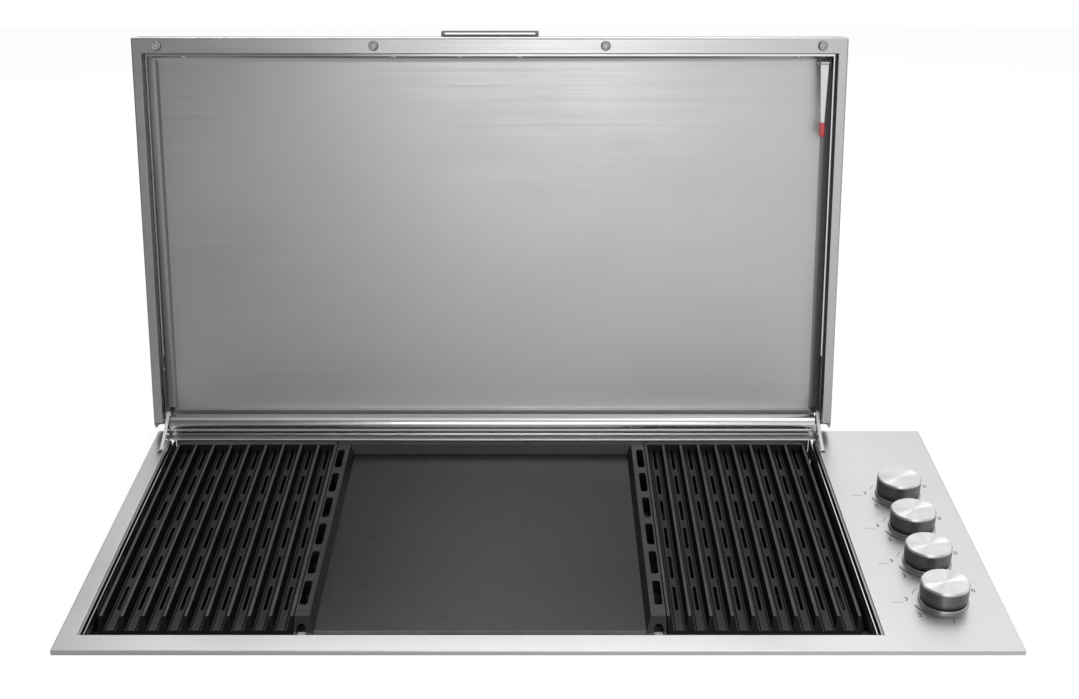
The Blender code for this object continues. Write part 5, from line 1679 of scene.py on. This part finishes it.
@dataclass
class ControlKnobs:
    """The knobs: spun face, chamfer, flank, shadow groove and foot, over thin bezels."""

    centres: tuple[Point, ...]
    radius: float = 27 * MM
    foot: float = 11 * MM
    top: float = 30 * MM
    deck: float = 5.8 * MM
    face_depth: float = 3 * MM
    steps: int = 96

    def build(self, finishes: Finishes) -> None:
        """Turn one knob and one bezel and set their copies.

        Args:
            finishes: the finishes.
        """
        first = self.centres[0]
        knob = lathe("knob_form", first, self.profile(), self.steps)
        soften(knob, 0.22 * MM, 2, 25, 30)
        finishes.dress(turn_map(knob, first), Finish.KNOB_FLANK)
        finishes.paint(knob, Finish.KNOB_FACE, lambda face: face.normal.z > 0.3
                       and face.center.z > self.top - self.face_depth)
        bezel = shade(lathe("bezel_form", first, self.bezel_profile(), self.steps), 35)
        finishes.dress(turn_map(bezel, first), Finish.BEZEL_RING)
        for number, (x, y) in enumerate(self.centres, 1):
            shift = Matrix.Translation((x - first[0], y - first[1], 0))
            mount(copied(knob, f"knob_form_{number}", shift), f"control_{number}",
                  f"knob_{number}")
            mount(copied(bezel, f"bezel_form_{number}", shift), "grill_body",
                  f"knob_bezel_{number}")
        for pattern in (knob, bezel):
            bpy.data.objects.remove(pattern)

    def profile(self) -> list[Point]:
        """The knob's profile, a hollow shell with a hub.

        Returns:
            Its points in (radius, height).
        """
        r, z0, z1 = self.radius, self.foot, self.top
        chamfer, neck = 1.6 * MM, r - 1.5 * MM
        wall, hub, bore, under = r - 2.8 * MM, 7 * MM, 3.2 * MM, z1 - self.face_depth
        return [(0, z1 - 0.3 * MM), (r - 3.0 * MM, z1 - 0.12 * MM), (r - 2.6 * MM, z1),
                (r - chamfer, z1), (r, z1 - chamfer), (r, z1 - chamfer - 0.3 * MM),
                (r - 0.5 * MM, z1 - chamfer - 0.45 * MM), (r - 0.5 * MM, z1 - chamfer - 0.95 * MM),
                (r - 0.05 * MM, z1 - chamfer - 1.15 * MM), (r - 0.2 * MM, z0 + 3.4 * MM),
                (r - 0.5 * MM, z0 + 3.0 * MM), (neck, z0 + 2.7 * MM), (neck, z0 + 1.2 * MM),
                (r - 0.5 * MM, z0 + 0.9 * MM), (r - 0.45 * MM, z0 + 0.3 * MM), (r - 0.8 * MM, z0),
                (r - 2.6 * MM, z0), (wall, z0 + 0.8 * MM), (wall, under), (hub, under),
                (hub, z0 + 0.3 * MM), (bore, z0), (bore, z0 + 9 * MM), (0, z0 + 9 * MM)]

    def bezel_profile(self) -> list[Point]:
        """The bezel's profile.

        Returns:
            Its points in (radius, height), closed.
        """
        z0, z1 = self.deck, self.deck + 2.4 * MM
        inner, outer = 22 * MM, 28 * MM
        return [(inner, z0), (outer, z0), (outer, z1 - 1.1 * MM), (27.7 * MM, z1 - 0.5 * MM),
                (27.2 * MM, z1 - 0.1 * MM), (26.6 * MM, z1), (24.6 * MM, z1),
                (24 * MM, z1 - 0.5 * MM), (inner, z1 - 0.7 * MM), (inner, z0)]


# ---------------------------------------------------------------- the lid


@dataclass
class Lid:
    """Skin, liner with its fixings, strap handle and rim pads, at rest standing open.

    Its sizes are those of the shut lid.
    """

    pads: tuple[float, ...] = (-482.5 * MM, -208.2 * MM, 85.2 * MM, 359.5 * MM)
    pad_y: float = 3.3 * MM
    pad_radius: float = 6.2 * MM
    rim_z: float = 9.9 * MM
    lip_z: float = 21.9 * MM
    lip_gap: float = 1.1 * MM
    lip_x: Point = (-499 * MM, 376 * MM)
    lip_y: float = 17 * MM
    wall_y: float = 13.8 * MM
    # Each face of the pan's floor and its corners' radius, the outer one first.
    floors: tuple[Point, ...] = ((47.9 * MM, 12.8 * MM), (47.1 * MM, 12 * MM))
    floor_back: float = 480 * MM
    slot: Point = (-12.6 * MM, -8.1 * MM)
    slot_narrowed: float = 0.55
    tabs: tuple[float, ...] = (-492.6 * MM, 369.6 * MM)
    tab_half: float = 3.4 * MM
    tab_y: Point = (480.5 * MM, 486 * MM)
    tab_z: Point = (22.9 * MM, 27 * MM)
    side_rivets: tuple[Place, ...] = (
        (-502.2 * MM, 120.8 * MM, 30 * MM), (-502.2 * MM, 430 * MM, 30 * MM),
        (379.2 * MM, 123.3 * MM, 30 * MM), (379.2 * MM, 431 * MM, 30 * MM))
    side_head: Profile = ((0, 1.5), (0.9, 1.35), (1.7, 0.9), (2.2, 0.3), (2.2, -0.3), (0, -0.3))
    top_rivets: tuple[float, ...] = (-456 * MM, -186 * MM, -101.6 * MM, -24.8 * MM, 332.4 * MM)
    top_rivet_z: float = 34 * MM
    top_head: Profile = ((0, 5.7), (2.6, 5.6), (3.9, 5.1), (4.3, 4.4), (4.3, 3.6), (2.4, 3.2),
                         (2.4, 0), (0, 0))

    def build(self, finishes: Finishes) -> None:
        """Model the lid's pieces.

        Args:
            finishes: the finishes.
        """
        skin = refined("lid_skin", "lid", 0.5 * MM, 2, 25, 50)
        finishes.dress(skin, Finish.BACK_STEEL)
        finishes.paint(skin, Finish.RIM_STEEL, lambda face: face.normal.y < -0.7)
        self.liner(finishes)
        self.handle(finishes)
        self.set_pads(finishes)
        self.set_rivets(finishes)
        self.set_stops(finishes)

    def handle(self, finishes: Finishes) -> None:
        """Narrow the strap handle's slot and round its edges.

        Args:
            finishes: the finishes.
        """
        handle = cad_copy("lid_handle", "lid_handle_form")
        low, high = self.slot
        edit(handle, Part.VERT)
        pick(handle, Part.VERT, lambda vert: low < shut(vert.co).y < high)
        bpy.ops.transform.resize(value=(1, 1, self.slot_narrowed),
                                 center_override=opened((0, (low + high) / 2, 30 * MM)))
        leave(handle)
        soften(handle, 0.35 * MM, 2, 35, 45)
        mount(finishes.dress(handle, Finish.HANDLE_STEEL), "lid", "lid_handle")

    def liner(self, finishes: Finishes) -> None:
        """Round the inner pan's corners, polish its lip and give its side walls a darker steel as
        painted shade.

        Args:
            finishes: the finishes.
        """
        liner = cad_copy("lid_liner", "lid_liner_form")
        self.set_lip(liner)
        for floor, radius in self.floors:
            edit(liner, Part.EDGE)
            pick(liner, Part.EDGE, lambda edge: self.bounds_floor(edge, floor))
            bpy.ops.mesh.bevel(offset=radius, segments=6, affect="EDGES", clamp_overlap=False)
            leave(liner)
        soften(liner, 0.3 * MM, 2, 40, 50)
        mount(finishes.dress(liner, Finish.LINER_STEEL), "lid", "lid_liner")
        lip = self.lip_z + 1.2 * MM
        finishes.paint(liner, Finish.POLISHED_STEEL, lambda face: shut(face.center).z < lip)
        # Painted shade: the pan's side walls take a darker copy of its steel.
        finishes.paint(liner, Finish.LINER_SIDE, lambda face: abs(face.normal.x) > 0.02
                       and shut(face.center).z >= lip)

    def set_lip(self, liner: Piece) -> None:
        """Draw the pan's lip in a little, so that a dark gap shows between it and the rim.

        Args:
            liner: the inner pan.
        """
        inward = Vector(opened(PIVOT + Vector((0, self.lip_gap, 0)))) - PIVOT
        level = self.lip_z + 1.0 * MM
        left, right = self.lip_x
        edit(liner, Part.VERT)
        for test, way in ((lambda place: place.y < self.lip_y, inward),
                          (lambda place: place.x < left, Vector((self.lip_gap, 0, 0))),
                          (lambda place: place.x > right, Vector((-self.lip_gap, 0, 0)))):
            pick(liner, Part.VERT,
                 lambda vert: shut(vert.co).z < level and test(shut(vert.co)))
            bpy.ops.transform.translate(value=way)
        leave(liner)

    def bounds_floor(self, edge: bmesh.types.BMEdge, floor: float) -> bool:
        """Whether an edge bounds the pan's floor at its front or sides.

        Args:
            edge: the edge.
            floor: the floor's height.

        Returns:
            Whether it does.
        """
        places = [shut(vert.co) for vert in edge.verts]
        return (all(abs(place.z - floor) < 0.1 * MM for place in places)
                and min(place.y for place in places) < self.floor_back
                and edge.calc_face_angle(0.0) > 1.2)

    def set_pads(self, finishes: Finishes) -> None:
        """Set the rubber pads on the rim: discs with a raised edge and a small recess.

        Args:
            finishes: the finishes.
        """
        r, z1, z0 = self.pad_radius, self.rim_z - 0.3 * MM, self.rim_z - 4.1 * MM
        profile = [(0, z1), (r, z1), (r, z0 + 1.3 * MM), (r - 0.35 * MM, z0 + 0.55 * MM),
                   (r - 1.2 * MM, z0), (r - 1.9 * MM, z0 + 0.15 * MM),
                   (r - 2.3 * MM, z0 + 0.55 * MM), (3.0 * MM, z0 + 0.5 * MM),
                   (2.6 * MM, z0 + 1.3 * MM), (0, z0 + 1.4 * MM)]
        pad = shade(lathe("rim_pad", (0, self.pad_y), profile, 40), 40)
        pad.data.transform(SWING)
        finishes.dress(pad, Finish.PAD_RUBBER)
        out = Vector(opened(PIVOT - Axis.Z.value)) - PIVOT
        finishes.paint(pad, Finish.BLACK_PLASTIC, lambda face: abs(face.normal.dot(out)) < 0.6)
        for number, x in enumerate(self.pads, 1):
            mount(copied(pad, f"rim_pad_{number}", Matrix.Translation((x, 0, 0))), "lid",
                  f"lid_bumper_{number}")
        bpy.data.objects.remove(pad)

    def set_rivets(self, finishes: Finishes) -> None:
        """Set the liner's rivets: on its side walls and along its upper edge.

        Args:
            finishes: the finishes.
        """
        sides = [Matrix.Translation(place) @ Matrix.Rotation(math.copysign(90, -place[0]) * DEG,
                                                             4, "Y")
                 for place in self.side_rivets]
        tops = [Matrix.Translation((x, self.wall_y, self.top_rivet_z))
                @ Matrix.Rotation(-90 * DEG, 4, "X") for x in self.top_rivets]
        rivets = joined("liner_rivets", [
            repeated(turned_head(self.side_head, 16), "rivets", sides),
            repeated(turned_head(self.top_head, 20), "rivets", tops)])
        rivets.data.transform(SWING)
        shade(outward(rivets), 40)
        mount(finishes.dress(rivets, Finish.POLISHED_STEEL), "lid")

    def set_stops(self, finishes: Finishes) -> None:
        """Set the black stops near the pan's hinge corners.

        Args:
            finishes: the finishes.
        """
        tab = soften(add_cube("tab", (-self.tab_half, self.tab_y[0], self.tab_z[0]),
                              (self.tab_half, self.tab_y[1], self.tab_z[1])), 0.8 * MM, 2)
        stops = repeated(tab, "liner_stops", [Matrix.Translation((x, 0, 0)) for x in self.tabs])
        stops.data.transform(SWING)
        mount(finishes.dress(stops, Finish.BLACK_PLASTIC), "lid")


@dataclass
class Deflector:
    """The rolled guard behind the cooking surface."""

    x: Point = (-493.55 * MM, 370.55 * MM)
    leg_y: float = 488.9 * MM
    foot: float = 6.3 * MM
    flange: float = 7 * MM
    sheet: float = 1.0 * MM
    centre: Point = (484.5 * MM, 20.8 * MM)
    radius: float = 11.2 * MM
    rivets: Point = (-489 * MM, 366 * MM)
    rivet_turn: float = 216.0
    rivet_head: Profile = ((0, 1.3), (0.9, 1.15), (1.7, 0.7), (2.1, 0.1), (2.1, -0.4),
                           (0, -0.4))

    def build(self, finishes: Finishes) -> None:
        """Roll the guard's sheet.

        Args:
            finishes: the finishes.
        """
        curl = arc(self.centre, self.radius, 250, 62, 30)
        leg, foot = self.leg_y, self.foot
        path = curl + [(leg, curl[-1][1] - 1.0 * MM), (leg, foot + 0.8 * MM),
                       (leg - 0.3 * MM, foot + 0.2 * MM), (leg - 0.8 * MM, foot),
                       (leg - self.flange, foot)]
        start, end = self.x
        guard = rolled_sheet("rear_guard", [(start, *point) for point in path],
                             (end - start, 0, 0), self.sheet)
        shade(guard, 50)
        mount(finishes.dress(guard, Finish.GUARD_STEEL), "grill_body", "rear_deflector")
        self.set_rivets(finishes)

    def set_rivets(self, finishes: Finishes) -> None:
        """Set a domed rivet near each end of the guard's lower curl.

        Args:
            finishes: the finishes.
        """
        turn = self.rivet_turn
        y, z = arc(self.centre, self.radius + 0.4 * MM, turn, turn + 1, 1)[0]
        lean = Matrix.Rotation((turn - 90) * DEG, 4, "X")
        rivets = repeated(turned_head(self.rivet_head, 16), "guard_rivets",
                          [Matrix.Translation((x, y, z)) @ lean for x in self.rivets])
        shade(outward(rivets), 40)
        mount(finishes.dress(rivets, Finish.POLISHED_STEEL), "grill_body")


@dataclass
class CarriedParts:
    """Nodes that keep their own shape, or a softened copy of it, and small fixings."""

    # Each node's finish, body and edge rounding.
    softened: dict[str, tuple[Finish, str, float]] = field(default_factory=lambda: {
        "hinge_bracket_left": (Finish.POLISHED_STEEL, "grill_body", 0.5 * MM),
        "hinge_bracket_right": (Finish.POLISHED_STEEL, "grill_body", 0.5 * MM),
        "prop_arm": (Finish.GUARD_STEEL, "prop", 0.35 * MM),
        # The prop's bracket takes the dark steel as painted shade round the top of the arm.
        "prop_bracket": (Finish.HANDLE_STEEL, "lid", 0.25 * MM),
        "prop_sleeve": (Finish.RED_SLEEVE, "prop", 0.5 * MM),
        "drip_tray": (Finish.ZINC_SHEET, "tray", 0.3 * MM),
        "control_housing": (Finish.ZINC_SHEET, "grill_body", 0.3 * MM),
        "igniter": (Finish.BLACK_PLASTIC, "grill_body", 0.8 * MM),
        "gas_inlet_fitting": (Finish.BRASS, "grill_body", 0.4 * MM),
    })
    kept: dict[str, Finish] = field(default_factory=lambda: {
        "hinge_pin_left": Finish.POLISHED_STEEL, "hinge_pin_right": Finish.POLISHED_STEEL,
        "lid_arm_left": Finish.ZINC_SHEET, "lid_arm_right": Finish.ZINC_SHEET,
        "prop_pin": Finish.SCREW_STEEL, "gas_manifold": Finish.ZINC_SHEET,
    })
    # Kept nodes that there is one of for each knob.
    rows: dict[str, Finish] = field(default_factory=lambda: {
        "burner": Finish.BURNER_STEEL, "flame_tamer": Finish.BURNER_STEEL,
        "valve_body": Finish.BRASS, "valve_plug": Finish.BRASS,
        "valve_stem": Finish.SCREW_STEEL,
    })
    row_length: int = 4
    feet: tuple[Place, ...] = ((-498.8 * MM, 428 * MM, 5.5 * MM), (374.3 * MM, 428 * MM, 5.5 * MM))
    foot_half: Point = (3.1 * MM, 4 * MM)
    foot_z: Point = (-0.2 * MM, 2.8 * MM)
    foot_rim: float = 0.8 * MM
    foot_recess: float = 0.7 * MM
    screw_inset: float = 12 * MM
    upper_screw_z: float = -18 * MM
    screw_head: Profile = ((0, 0.9), (1.2, 0.9), (1.5, 1.7), (2.6, 1.5), (3.4, 1.0), (3.7, 0.3),
                           (3.7, -0.3), (0, -0.3))

    def build(self, finishes: Finishes) -> None:
        """Dress every remaining node and set the small fixings.

        Args:
            finishes: the finishes.
        """
        self.set_feet(finishes)
        self.screw_housing(finishes)
        for node, (finish, body, edge) in self.softened.items():
            piece = finishes.dress(refined(node, body, edge), finish)
            # The hinge brackets' sloping front faces get a painted highlight.
            if node.startswith("hinge_bracket"):
                finishes.paint(piece, Finish.BRIGHT_EDGE,
                               lambda face: face.normal.z > 0.3 and face.normal.y < -0.2)
        for node, finish in self.kept.items():
            finishes.carry(node, finish)
        for number in range(1, self.row_length + 1):
            for kind, finish in self.rows.items():
                finishes.carry(f"{kind}_{number}", finish)

    def set_feet(self, finishes: Finishes) -> None:
        """Set the small dark block with a pale rim before each hinge bracket's toe.

        Args:
            finishes: the finishes.
        """
        (wide, long), (low, high) = self.foot_half, self.foot_z
        block = add_cube("foot", (-wide, -long, low), (wide, long, high))
        edit(block)
        pick(block, Part.FACE, lambda face: face.normal.z > 0.5)
        bpy.ops.mesh.inset(thickness=self.foot_rim)
        bpy.ops.transform.translate(value=(0, 0, -self.foot_recess))
        soften(leave(block), 0.25 * MM, 2)
        finishes.dress(block, Finish.GUARD_STEEL)
        finishes.paint(block, Finish.BLACK_PLASTIC, lambda face: face.center.z > 0.5 * MM
                       and abs(face.center.x) < wide - 0.9 * MM
                       and abs(face.center.y) < long - 0.9 * MM)
        feet = repeated(block, "bracket_feet", [Matrix.Translation(foot) for foot in self.feet])
        mount(feet, "grill_body")

    def screw_housing(self, finishes: Finishes) -> None:
        """Drive pan-head screws into the control housing's front and floor.

        Args:
            finishes: the finishes.
        """
        low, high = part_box("control_housing")
        inset = self.screw_inset
        turns = []
        for x in (low[0] + inset, high[0] - inset):
            for place, turn in (((x, low[1], low[2] + inset), 90),
                                ((x, low[1], self.upper_screw_z), 90),
                                ((x, low[1] + inset, low[2]), 180),
                                ((x, high[1] - inset, low[2]), 180)):
                turns.append(Matrix.Translation(place) @ Matrix.Rotation(turn * DEG, 4, "X"))
        screws = repeated(turned_head(self.screw_head, 24), "housing_screws", turns)
        shade(outward(screws), 40)
        mount(finishes.dress(screws, Finish.SCREW_STEEL), "grill_body")


# ---------------------------------------------------------------- all of it


def main() -> None:
    """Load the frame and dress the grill."""
    logging.basicConfig(level=logging.INFO, format="%(name)s: %(message)s")
    FRAME.update(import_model())
    finishes = Finishes()
    fascia = FasciaPlate()
    knobs = ControlKnobs(tuple((fascia.knob_x, y) for y in fascia.knob_y))
    for step in (fascia, Firebox(), CastPieces(), Deflector(), Lid(), CarriedParts(), knobs):
        earlier = set(bpy.data.objects.keys())
        step.build(finishes)
        for name in sorted(set(bpy.data.objects.keys()) - earlier):
            LOG.info("%s built %s", type(step).__name__, name)
    Studio().build()
    bpy.context.scene.view_settings.view_transform = "Standard"


if __name__ == "__main__":
    main()
